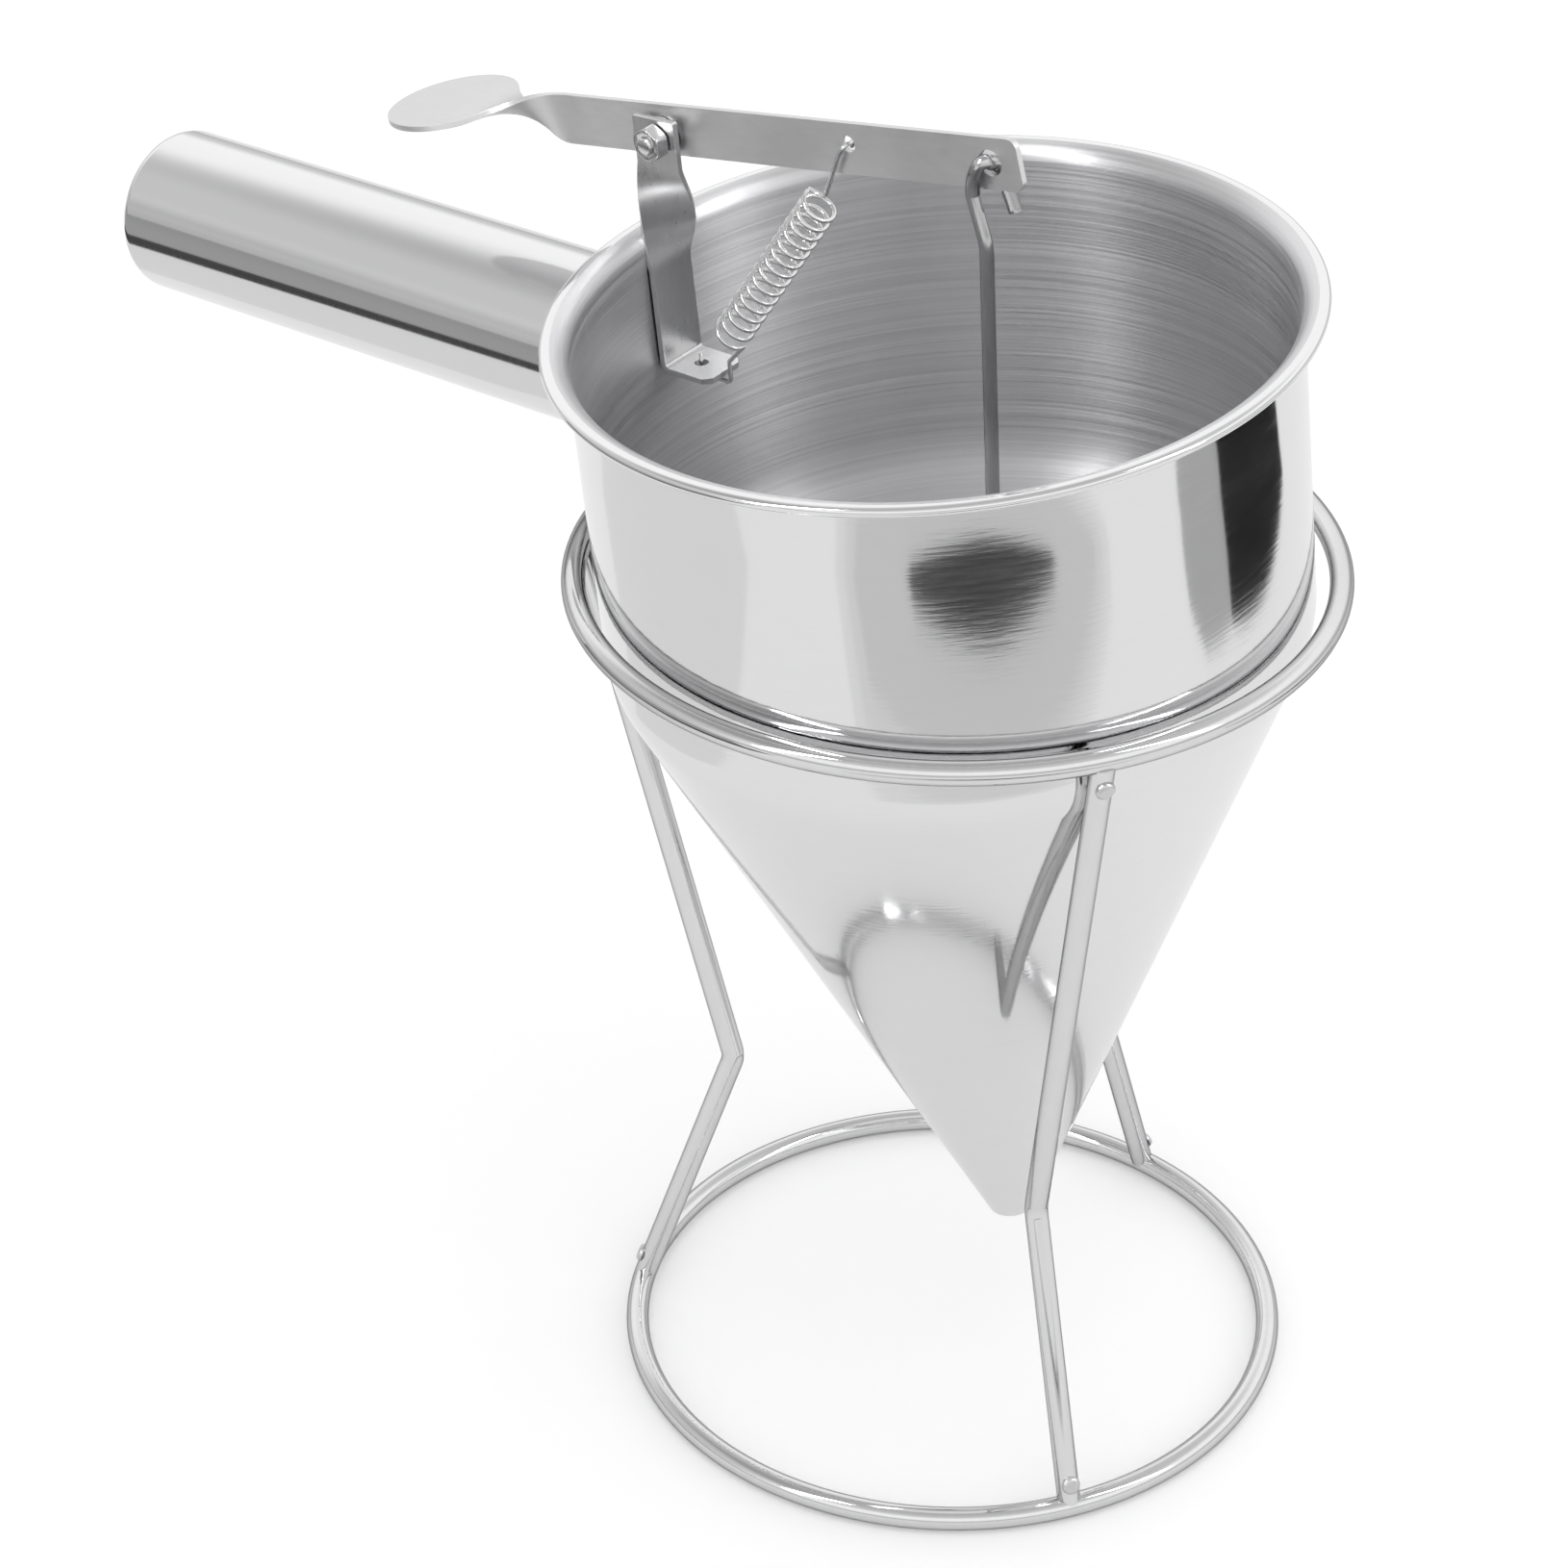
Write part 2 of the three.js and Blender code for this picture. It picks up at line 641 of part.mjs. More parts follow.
// The rod, from the stopper up to its hook through the lever
function rodPoints() {
  const hole = fromLever(rodHoleX, leverY, rodHoleZ);
  const front = leverFront - rodRadius - 2 * runningGap;
  const back = leverBack + rodRadius + 2 * runningGap;
  const throat = new THREE.Vector3(hole.x - rodThroatSetback, front, hole.z - rodThroatDrop);
  const hookX = (throat.x + hole.x) / 2;
  const topZ = hole.z + hookRise;
  const hook = new THREE.CatmullRomCurve3([
    throat,
    new THREE.Vector3(throat.x, front, (throat.z + topZ) / 2),
    new THREE.Vector3((throat.x + hookX) / 2, front, topZ - hookRise / 4),
    new THREE.Vector3(hookX, front, topZ),
    new THREE.Vector3(hole.x - rodRadius / 2, (front + leverFront) / 2, hole.z + hookRise / 2),
    new THREE.Vector3(hole.x, leverFront, hole.z + hookRise / 8),
    new THREE.Vector3(hole.x, leverBack, hole.z - hookRise / 8),
    new THREE.Vector3(hole.x, back, hole.z - hookRise),
    new THREE.Vector3(hole.x, back, hole.z - hookTail / 2),
    new THREE.Vector3(hole.x, back, hole.z - hookTail),
  ], false, 'centripetal');
  const hookSteps = 32;
  const base = new THREE.Vector3(0, 0, -tipDepth + plugLift + plugHeight - plugBoreDepth + touchGap);
  const knee = new THREE.Vector3(hole.x - rodKneeSetback, front / 2, hole.z - rodKneeDrop);
  const bent = rounded([base, knee, throat], rodKneeDrop - rodThroatDrop);
  return [...bent.slice(0, -1), ...hook.getPoints(hookSteps)];
}

function plugGeometry(path) {
  const bottom = -tipDepth + plugLift;
  const top = bottom + plugHeight;
  const wallAt = (height) => nozzleRadius - sheetAcross + (height + tipDepth) * Math.tan(coneHalfAngle);
  const fit = touchGap / Math.cos(coneHalfAngle);
  const shoulder = top - plugHeight / 4;
  const body = turned([
    [0, bottom],
    [wallAt(bottom) - fit, bottom],
    [wallAt(shoulder) - fit, shoulder],
    [wallAt(shoulder) - fit - (top - shoulder), top],
    [0, top],
  ], smallSegments);
  const bore = wire([path[0].clone().addScaledVector(new THREE.Vector3(0, 0, 1), -touchGap), path[1]],
    rodRadius + touchGap, smallSegments);
  return cut(body, bore);
}

function makeFunnel() {
  const funnel = new THREE.Group();
  funnel.rotation.set(leanAcross, -leanToHandle, 0, 'YXZ');
  funnel.position.set(sitShiftX, sitShiftY, seatHeight());
  const bracket = bracketGeometry();
  const rod = rodPoints();
  funnel.add(mesh('funnel_bowl', bowlGeometry(), polishedSteel));
  funnel.add(mesh('funnel_cone', coneGeometry(), polishedSteel));
  funnel.add(mesh('handle_tube', handleTubeGeometry(), polishedSteel));
  funnel.add(mesh('handle_end_cap', handleCapGeometry(), polishedSteel));
  funnel.add(mesh('handle_weld_bead', handleBeadGeometry(), brushedSteel));
  funnel.add(mesh('lever_bracket', bracket.geometry, stripSteel));
  funnel.add(mesh('pivot_bolt', boltGeometry(), brushedSteel));
  funnel.add(mesh('pivot_nut', nutGeometry(), brushedSteel));
  funnel.add(mesh('pivot_washer', washerGeometry(), brushedSteel));
  funnel.add(mesh('thumb_lever', leverGeometry(), stripSteel));
  funnel.add(mesh('return_spring', springGeometry(bracket.footTipX), wireSteel));
  funnel.add(mesh('valve_rod', wire(rod, rodRadius, wireSides), wireSteel));
  funnel.add(mesh('valve_plug', plugGeometry(rod), stopperRubber));
  return funnel;
}

const part = new THREE.Group();
part.add(makeStand(), makeFunnel());
part.updateMatrixWorld(true);
const reach = new THREE.Box3().setFromObject(part, true);
part.position.set(-(reach.min.x + reach.max.x) / 2, -(reach.min.y + reach.max.y) / 2, -reach.min.z);

export default part;
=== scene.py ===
# %% [markdown]
# # A steel funnel with a thumb lever, standing in a wire stand
#
# The real thing is a dispenser for batter or sauce. A deep funnel hangs loosely in a wire stand,
# a lever on its rim lifts a rod with a stopper out of the nozzle, and a spring pulls it shut.
# The CAD solids are loaded first. They say where everything is, and each piece built below
# takes the place of one or more of them, with rounder edges, finer facets and a finish of its own.

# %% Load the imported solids
import json
import math

import bmesh
import bpy
from mathutils import Matrix, Vector


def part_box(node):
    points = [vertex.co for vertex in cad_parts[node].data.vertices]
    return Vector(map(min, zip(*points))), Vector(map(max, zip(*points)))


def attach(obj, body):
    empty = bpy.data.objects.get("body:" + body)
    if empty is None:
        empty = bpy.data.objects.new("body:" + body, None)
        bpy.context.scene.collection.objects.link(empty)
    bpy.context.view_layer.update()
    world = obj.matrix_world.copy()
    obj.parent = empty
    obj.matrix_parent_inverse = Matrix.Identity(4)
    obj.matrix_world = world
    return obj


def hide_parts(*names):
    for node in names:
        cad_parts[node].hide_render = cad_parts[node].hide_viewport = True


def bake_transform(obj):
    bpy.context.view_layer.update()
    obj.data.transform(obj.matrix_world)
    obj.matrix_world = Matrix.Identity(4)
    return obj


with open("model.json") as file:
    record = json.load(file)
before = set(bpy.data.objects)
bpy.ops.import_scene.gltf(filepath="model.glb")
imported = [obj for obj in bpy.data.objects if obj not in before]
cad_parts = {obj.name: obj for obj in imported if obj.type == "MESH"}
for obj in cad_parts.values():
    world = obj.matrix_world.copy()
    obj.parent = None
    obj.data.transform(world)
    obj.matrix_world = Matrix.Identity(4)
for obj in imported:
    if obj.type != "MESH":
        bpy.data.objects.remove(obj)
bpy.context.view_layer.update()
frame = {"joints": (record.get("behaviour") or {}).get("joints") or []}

# %% [markdown]
# ## The two places that everything is measured from
#
# The stand is upright, so its pieces are turned around the middle of its base ring.
# The funnel hangs a little crooked in its ring, so all of its pieces are modelled upright,
# with the middle of the lip at the origin, and are then leaned and moved in one go.
# That keeps every profile simple, and it is how a maker would draw it too.

# %% Where the stand and the funnel are
MM = 0.001
UP = Vector((0, 0, 1))
SIDEWAYS = Vector((0, 1, 0))
base_low, base_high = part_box("stand_base_ring")
stand_x = (base_low.x + base_high.x) / 2
stand_y = (base_low.y + base_high.y) / 2

LEAN_ACROSS = math.radians(3.7)
LEAN_TO_HANDLE = math.radians(2.99)
leaned = Matrix.Rotation(-LEAN_TO_HANDLE, 4, "Y") @ Matrix.Rotation(LEAN_ACROSS, 4, "X")

# The pivot is measured from the lip's middle, on the middle of the strap's upper plate. The joint
# is stated a little behind it, in the middle of the lever's thickness.
pivot = Vector((-71.9, 0, 21.8)) * MM
lever_behind = Vector((0, 2.55, 0)) * MM
pivot_place = Vector(next(j for j in frame["joints"] if j["name"] == "lever_pivot")["pos_m"])
lip_centre = pivot_place - leaned.to_3x3() @ (pivot + lever_behind)
funnel_place = Matrix.Translation(lip_centre) @ leaned
stand_place = Matrix.Translation((stand_x, stand_y, 0))
print("lip centre in mm:", [round(v * 1000, 2) for v in lip_centre])

# %% [markdown]
# ## Drawing with vertices
#
# Most of this object is either turned or bent wire and strip. Both start from a line of
# vertices: a plane is added and merged to one vertex, and that vertex is extruded from point
# to point. Spinning the line gives a turned shell, and a curve bevel along it gives a wire.

# %% Helpers: start afresh, pick a piece, and draw a line


def deselect_all():
    if bpy.context.object and bpy.context.object.mode != "OBJECT":
        bpy.ops.object.mode_set(mode="OBJECT")
    bpy.ops.object.select_all(action="DESELECT")


def pick(piece):
    """Makes a piece the only selected one and the active one."""
    deselect_all()
    piece.select_set(True)
    bpy.context.view_layer.objects.active = piece


def drawn_line(name, points):
    """A line of vertices through the points, drawn by extruding one vertex, left in edit mode."""
    deselect_all()
    bpy.ops.mesh.primitive_plane_add(size=MM, location=points[0])
    line = bpy.context.object
    line.name = name
    bpy.ops.object.transform_apply(location=True, rotation=False, scale=False)
    bpy.ops.object.mode_set(mode="EDIT")
    bpy.ops.mesh.select_all(action="SELECT")
    bpy.ops.mesh.merge(type="CENTER")
    for before, after in zip(points, points[1:]):
        step = Vector(after) - Vector(before)
        bpy.ops.mesh.extrude_region_move(TRANSFORM_OT_translate={"value": step})
    bpy.ops.mesh.select_all(action="SELECT")
    return line


def merge_points(apart):
    """Merges the points of the piece in edit mode that lie closer together than this."""
    bpy.ops.mesh.select_all(action="SELECT")
    bpy.ops.mesh.remove_doubles(threshold=apart)


def close_shell():
    """Closes the seams of the piece in edit mode, turns its faces outward and leaves edit mode."""
    merge_points(0.002 * MM)
    bpy.ops.mesh.normals_make_consistent(inside=False)
    bpy.ops.object.mode_set(mode="OBJECT")


# %% Helpers: put a piece in its place, and finish its mesh


def put(piece, place):
    """Puts a piece that was modelled at the origin in its place, inside its mesh."""
    pick(piece)
    piece.matrix_world = place
    bpy.ops.object.transform_apply(location=True, rotation=True, scale=True)
    return piece


def apply_modifiers(piece):
    pick(piece)
    for modifier in list(piece.modifiers):
        bpy.ops.object.modifier_apply(modifier=modifier.name)


def smooth(piece, degrees):
    """Shades a piece smooth, apart from edges that are sharper than this angle."""
    pick(piece)
    bpy.ops.object.shade_smooth_by_angle(angle=math.radians(degrees))


def even_faces(piece):
    """Lets the large flat faces keep their own normal, so that only the broken edges look round."""
    even = piece.modifiers.new("even faces", "WEIGHTED_NORMAL")
    even.weight = 100
    even.keep_sharp = True
    apply_modifiers(piece)


def break_edges(piece, width, degrees):
    """Adds a bevel on the edges that are sharper than this angle."""
    bevel = piece.modifiers.new("broken edges", "BEVEL")
    bevel.width = width
    bevel.segments = 2
    bevel.limit_method = "ANGLE"
    bevel.angle_limit = math.radians(degrees)


def boolean(piece, tool, operation="DIFFERENCE"):
    """Adds a cut with a tool, or with INTERSECT keeps only what both share."""
    cut = piece.modifiers.new("cut", "BOOLEAN")
    cut.operation = operation
    cut.object = tool
    cut.solver = "EXACT"


def carve(piece, tool, operation="DIFFERENCE"):
    """Makes such a cut at once, and removes the tool."""
    boolean(piece, tool, operation)
    apply_modifiers(piece)
    bpy.data.objects.remove(tool)


def measured(piece):
    faces = len(piece.data.polygons)
    size = [round(v * 1000, 1) for v in piece.dimensions]
    print(f"{piece.name}: {faces} faces, {size} mm")


# %% Helpers: a cylinder, a turned piece, and an arc of its profile
FULL_TURN = 2 * math.pi
FACING_Y = (math.pi / 2, 0, 0)  # turns what was made along the Z axis to lie along the Y axis


def cylinder(radius, depth, sides=32, place=(0, 0, 0), turn=(0, 0, 0)):
    """A cylinder with its radius and depth in mm, round its place in metres."""
    deselect_all()
    bpy.ops.mesh.primitive_cylinder_add(
        vertices=sides, radius=radius * MM, depth=depth * MM, location=place, rotation=turn
    )
    return bpy.context.object


def turned(name, profile, steps=144):
    """Spins a closed profile of (radius, height) points in mm around the Z axis."""
    points = [Vector((radius, 0, height)) * MM for radius, height in profile]
    piece = drawn_line(name, points)
    bpy.ops.mesh.spin(
        steps=steps, angle=FULL_TURN, center=(0, 0, 0), axis=(0, 0, 1), use_auto_merge=True
    )
    close_shell()
    return piece


def arc(centre, radius, start, end, steps=6):
    """Points of an arc for a profile, from one angle in degrees to another."""
    points = []
    for step in range(steps + 1):
        angle = math.radians(start + (end - start) * step / steps)
        points.append((centre[0] + radius * math.cos(angle), centre[1] + radius * math.sin(angle)))
    return points


# %% Helpers: a round wire along points, and a path with round bends


def wire(name, points, radius, sides=12, closed=False):
    """Turns a drawn line into a curve, gives it a round section and makes it a mesh again."""
    drawn_line(name, points)
    bpy.ops.object.mode_set(mode="OBJECT")
    bpy.ops.object.convert(target="CURVE")
    curve = bpy.context.object
    curve.name = name
    curve.data.dimensions = "3D"
    curve.data.splines[0].use_cyclic_u = closed
    curve.data.splines[0].use_smooth = True
    curve.data.bevel_depth = radius
    curve.data.bevel_resolution = max(sides // 4, 1)
    curve.data.use_fill_caps = True
    bpy.ops.object.convert(target="MESH")
    bpy.ops.object.mode_set(mode="EDIT")
    close_shell()
    return bpy.context.object


def bent(corners, bend_radius, steps=8):
    """The points of a path with a round bend at each inner corner."""
    points = [corners[0]]
    for before, corner, after in zip(corners, corners[1:], corners[2:]):
        into = (corner - before).normalized()
        out = (after - corner).normalized()
        turn = into.angle(out)
        start = corner - into * bend_radius * math.tan(turn / 2)
        centre = corner + (out - into).normalized() * bend_radius / math.cos(turn / 2)
        axis = into.cross(out).normalized()
        for step in range(steps + 1):
            spoke = Matrix.Rotation(turn * step / steps, 3, axis) @ (start - centre)
            points.append(centre + spoke)
    points.append(corners[-1])
    return points


# %% Helpers: a flat strip through stations, and a hole in it


def eased(share):
    """A share from 0 to 1 that starts and ends slowly."""
    return share * share * (3 - 2 * share)


def strip(name, stations, thickness):
    """Extrudes an edge from station to station, each a middle, a way across and a width in mm,
    then gives it thickness and breaks its edges a little."""
    stations = [(middle * MM, across, width * MM) for middle, across, width in stations]
    ends = []
    for middle, across, width in stations:
        ends.append((middle - across * width / 2, middle + across * width / 2))
    piece = drawn_line(name, ends[0])
    for before, after in zip(ends, ends[1:]):
        bpy.ops.mesh.extrude_region_move(TRANSFORM_OT_translate={"value": after[0] - before[0]})
        shell = bmesh.from_edit_mesh(piece.data)
        far = before[1] + after[0] - before[0]
        for vertex in shell.verts:
            if vertex.select:
                vertex.select = (vertex.co - far).length < (vertex.co - after[0]).length
        shell.select_flush_mode()
        bpy.ops.mesh.select_mode(type="VERT")
        bpy.ops.transform.translate(value=after[1] - far)
        shell = bmesh.from_edit_mesh(piece.data)
        for vertex in shell.verts:
            near = min((vertex.co - after[0]).length, (vertex.co - after[1]).length)
            vertex.select = near < 0.001 * MM
        shell.select_flush(True)
    bpy.ops.object.mode_set(mode="OBJECT")
    solidify = piece.modifiers.new("thickness", "SOLIDIFY")
    solidify.thickness = thickness * MM
    solidify.offset = 0
    solidify.use_even_offset = True
    break_edges(piece, 0.18 * MM, 50)
    return piece


def drill(piece, place, radius, turn=FACING_Y):
    """Cuts a round hole, before the edges are broken, so that the hole's rim is broken too."""
    bit = cylinder(radius, 6, place=place, turn=turn)
    boolean(piece, bit)
    pick(piece)
    bpy.ops.object.modifier_move_to_index(modifier="cut", index=1)
    for modifier in list(piece.modifiers)[:2]:
        if modifier.name in ("thickness", "cut"):
            bpy.ops.object.modifier_apply(modifier=modifier.name)
    bpy.data.objects.remove(bit)


# %% [markdown]
# ## Steel, seen close
#
# All the metal is stainless steel, but no two pieces were worked the same way. The outside of
# the funnel and the handle are polished, the inside is brushed round and round, the strip has
# a satin rolled grain along it, the wire is drawn bright, and the welds are ground and dull.
# One node group serves for all, so it is built once and given its own values in each finish:
# fine lines in a direction push the normal and the roughness about, and larger soft clouds
# stand for handling and wiping.

# %% Helpers: add a node with some of its settings, and set its inputs


def node(tree, kind, x, y, **values):
    made = tree.nodes.new(kind)
    made.location = (x, y)
    for key, value in values.items():
        setattr(made, key, value)
    return made


def fill(made, values):
    """Sets the values of a node's own inputs."""
    for key, value in values.items():
        made.inputs[key].default_value = value


# %% The grain of worked steel, as one node group for every steel finish
GRAIN_INPUTS = (
    ("Place", "NodeSocketVector"),
    ("Grain", "NodeSocketVector"),
    ("Clouds", "NodeSocketFloat"),
    ("Dull Colour", "NodeSocketColor"),
    ("Bright Colour", "NodeSocketColor"),
    ("Smoothest", "NodeSocketFloat"),
    ("Roughest", "NodeSocketFloat"),
    ("Line Depth", "NodeSocketFloat"),
)
GRAIN_OUTPUTS = (
    ("Colour", "NodeSocketColor"),
    ("Roughness", "NodeSocketFloat"),
    ("Normal", "NodeSocketVector"),
)
steel_grain = bpy.data.node_groups.new("steel_grain", "ShaderNodeTree")
for title, kind in GRAIN_INPUTS:
    steel_grain.interface.new_socket(name=title, in_out="INPUT", socket_type=kind)
for title, kind in GRAIN_OUTPUTS:
    steel_grain.interface.new_socket(name=title, in_out="OUTPUT", socket_type=kind)
given = node(steel_grain, "NodeGroupInput", -1200, 0).outputs
sent = node(steel_grain, "NodeGroupOutput", 100, 0).inputs

# %% Inside the group: fine stretched lines and broad clouds
link = steel_grain.links.new
stretch = node(steel_grain, "ShaderNodeVectorMath", -950, 150, operation="MULTIPLY")
link(given["Place"], stretch.inputs[0])
link(given["Grain"], stretch.inputs[1])
fine = node(steel_grain, "ShaderNodeTexNoise", -750, 200)
fill(fine, {"Scale": 1.0, "Detail": 3.0, "Roughness": 0.6})
link(stretch.outputs["Vector"], fine.inputs["Vector"])
broad = node(steel_grain, "ShaderNodeTexNoise", -750, -100)
broad.inputs["Detail"].default_value = 4.0
link(given["Place"], broad.inputs["Vector"])
link(given["Clouds"], broad.inputs["Scale"])
both = node(steel_grain, "ShaderNodeMix", -500, 100, data_type="FLOAT")
both.inputs["Factor"].default_value = 0.4
link(fine.outputs["Fac"], both.inputs["A"])
link(broad.outputs["Fac"], both.inputs["B"])

# %% Inside the group: what the lines and clouds do to colour, roughness and normal
tint = node(steel_grain, "ShaderNodeMix", -250, 300, data_type="RGBA")
link(both.outputs["Result"], tint.inputs["Factor"])
link(given["Dull Colour"], tint.inputs[6])
link(given["Bright Colour"], tint.inputs[7])
link(tint.outputs[2], sent["Colour"])
rough = node(steel_grain, "ShaderNodeMapRange", -250, 0)
fill(rough, {"From Min": 0.3, "From Max": 0.7})
link(both.outputs["Result"], rough.inputs["Value"])
link(given["Smoothest"], rough.inputs["To Min"])
link(given["Roughest"], rough.inputs["To Max"])
link(rough.outputs["Result"], sent["Roughness"])
bump = node(steel_grain, "ShaderNodeBump", -250, -260)
link(fine.outputs["Fac"], bump.inputs["Height"])
link(given["Line Depth"], bump.inputs["Distance"])
link(bump.outputs["Normal"], sent["Normal"])
print("steel_grain:", len(steel_grain.nodes), "nodes")

# %% Helper: a steel finish


def steel(
    name,
    colour,
    roughness,
    spread,
    grain,
    held=((0, 0, 0), (0, 0, 0)),
    lines=0.02,
    shade=0.06,
    clouds=9,
    stretched=0.0,
    rim=0.9,
):
    """Steel whose grain is lines per metre along x, y and z, held at a turn and a centre.

    The lines' depth is in mm, the shade is how far the colour strays, the clouds are so many per
    metre, the stretch is that of the highlights, and the rim is how bright its outline stays: below
    1 it darkens the outline, a little as real steel does and further down as painted shade."""
    material = bpy.data.materials.new(name)
    material.use_nodes = True
    tree = material.node_tree
    link = tree.links.new
    shader = tree.nodes["Principled BSDF"]
    # A Specular Tint below 1 darkens the outline, partly as real steel does and partly as painted
    # shade.
    fill(shader, {"Metallic": 1.0, "Specular Tint": (rim, rim, rim, 1)})
    if stretched:
        fill(shader, {"Anisotropic": stretched, "Anisotropic Rotation": 0.25})
        around = node(tree, "ShaderNodeTangent", -260, -460, direction_type="RADIAL", axis="Z")
        link(around.outputs["Tangent"], shader.inputs["Tangent"])
    place = node(tree, "ShaderNodeTexCoord", -900, 0)
    mapping = node(tree, "ShaderNodeMapping", -700, 0, vector_type="TEXTURE")
    fill(mapping, {"Rotation": held[0], "Location": held[1]})
    link(place.outputs["Object"], mapping.inputs["Vector"])
    worked = node(tree, "ShaderNodeGroup", -400, 0, node_tree=steel_grain)
    link(mapping.outputs["Vector"], worked.inputs["Place"])
    dull = (*[v * (1 - shade) for v in colour], 1)
    bright = (*[v * (1 + shade) for v in colour], 1)
    fill(worked, {"Grain": grain, "Clouds": clouds, "Line Depth": lines * MM})
    fill(worked, {"Dull Colour": dull, "Bright Colour": bright})
    fill(worked, {"Smoothest": max(roughness - spread, 0.02), "Roughest": roughness + spread})
    link(worked.outputs["Colour"], shader.inputs["Base Color"])
    link(worked.outputs["Roughness"], shader.inputs["Roughness"])
    link(worked.outputs["Normal"], shader.inputs["Normal"])
    return material


# %% The finishes of the sheet, the handle and the strips, whose grain leans with the funnel
held = (leaned.to_euler("XYZ"), lip_centre)
polished = steel(
    "polished_steel", (0.77, 0.77, 0.775), 0.075, 0.025, (90, 90, 1100), held,
    lines=0.007, shade=0.03, rim=1.0,
)
brushed_inside = steel(
    "brushed_inside", (0.73, 0.73, 0.74), 0.40, 0.12, (9, 9, 1900), held,
    lines=0.04, shade=0.42, stretched=0.85,
)
handle_polish = steel(
    "handle_polish", (0.76, 0.76, 0.765), 0.10, 0.03, (1800, 22, 22), held,
    lines=0.002, shade=0.02, rim=1.0,
)

# %% The finishes of wire, rod, spring and welds
# The drawn wire's low rim of 0.4 paints shade along its outlines.
wire_steel = steel(
    "drawn_wire", (0.72, 0.72, 0.725), 0.06, 0.03, (700, 700, 60),
    lines=0.004, shade=0.06, clouds=60, rim=0.4,
)
# The rod's rim of 0.25 paints shade along its outlines.
rod_steel = steel(
    "drawn_rod", (0.54, 0.54, 0.545), 0.14, 0.04, (900, 900, 90),
    lines=0.004, shade=0.08, clouds=60, rim=0.25,
)
spring_steel = steel(
    "spring_wire", (0.78, 0.78, 0.78), 0.16, 0.04, (900, 900, 900), lines=0.002, shade=0.03
)
weld_steel = steel(
    "ground_weld", (0.62, 0.62, 0.625), 0.34, 0.1, (900, 900, 900),
    lines=0.05, shade=0.12, clouds=300,
)

# %% The finishes of lever, strap and fasteners
strip_steel = steel(
    "satin_strip", (0.79, 0.79, 0.795), 0.42, 0.05, (250, 900, 900), held,
    lines=0.0008, shade=0.08, clouds=60,
)
strap_steel = steel(
    "satin_strap", (0.72, 0.72, 0.725), 0.30, 0.04, (900, 900, 250), held,
    lines=0.0006, shade=0.10, clouds=60,
)
fastener_steel = steel(
    "turned_fastener", (0.76, 0.76, 0.765), 0.22, 0.05, (900, 300, 900),
    lines=0.001, shade=0.08, clouds=200,
)

# %% Rubber for the stopper
rubber = bpy.data.materials.new("stopper_rubber")
rubber.use_nodes = True
tree = rubber.node_tree
link = tree.links.new
shader = tree.nodes["Principled BSDF"]
shader.inputs["Roughness"].default_value = 0.6
place = node(tree, "ShaderNodeTexCoord", -900, 0)
specks = node(tree, "ShaderNodeTexNoise", -700, 0)
specks.inputs["Scale"].default_value = 900
link(place.outputs["Object"], specks.inputs["Vector"])
tint = node(tree, "ShaderNodeMix", -400, 200, data_type="RGBA")
fill(tint, {6: (0.018, 0.018, 0.02, 1), 7: (0.045, 0.045, 0.048, 1)})
link(specks.outputs["Fac"], tint.inputs[0])
link(tint.outputs[2], shader.inputs["Base Color"])
grit = node(tree, "ShaderNodeBump", -400, -200)
grit.inputs["Distance"].default_value = 0.02 * MM
link(specks.outputs["Fac"], grit.inputs["Height"])
link(grit.outputs["Normal"], shader.inputs["Normal"])

# %% Helper: hand a piece over


def hand_over(piece, material, body, slot, *nodes, place=funnel_place, even=False):
    """Puts a piece in its place, gives it its finish and body, and hides the
    solids it stands for. Its record slot is not used."""
    put(piece, place)
    if even:
        even_faces(piece)
    piece.data.materials.clear()
    piece.data.materials.append(material)
    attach(piece, body)
    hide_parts(*nodes)
    measured(piece)


# %% [markdown]
# ## The funnel's shell
#
# Bowl and cone are pressed from one sheet of 0.8 mm, so here they are one turned shell: up the
# outside, round the lip and down the inside. The lip is rolled outwards into a flat bead.
# A profile drawn once and spun gives even walls and a clean rounding at the shoulder.
# Drawing the wall as a closed profile is better than a Solidify modifier here,
# because the lip is thicker than the wall.

# %% Sizes of the shell
BOWL_RADIUS = 75.2
BOWL_DEPTH = 73.35
SHEET = 0.8
SHOULDER_RADIUS = 22.5
CONE_ANGLE = 24
NOZZLE_RADIUS = 5.1
LIP_REACH = 5.3
LIP_THICKNESS = 2.2
LIP_FILLET = 1.3  # under the lip
LIP_FLARE = 4.2  # from the inner wall into the lip
BRUSHED_REACH = 3.6  # how far the brushing runs out over that flare
cone_turn = math.radians(CONE_ANGLE)
cone_slope = math.tan(cone_turn)
inner_radius = BOWL_RADIUS - SHEET
shoulder_top = BOWL_DEPTH - SHOULDER_RADIUS * math.tan(math.radians(CONE_ANGLE / 2))
shoulder_centre = BOWL_RADIUS - SHOULDER_RADIUS
shoulder_end = shoulder_top + SHOULDER_RADIUS * math.sin(cone_turn)
shoulder_end_radius = shoulder_centre + SHOULDER_RADIUS * math.cos(cone_turn)
tip_depth = shoulder_end + (shoulder_end_radius - NOZZLE_RADIUS) / cone_slope
sheet_across = SHEET / math.cos(cone_turn)
inner_nozzle = NOZZLE_RADIUS - sheet_across
print("nozzle mouth", round(tip_depth, 1), "mm below the lip")

# %% Turn the shell


def cone_wall(radius, shares):
    """Points along the cone, up from the nozzle, where the wall has this radius."""
    depths = [tip_depth + (shoulder_end - tip_depth) * share for share in shares]
    return [(radius + (tip_depth - depth) * cone_slope, -depth) for depth in depths]


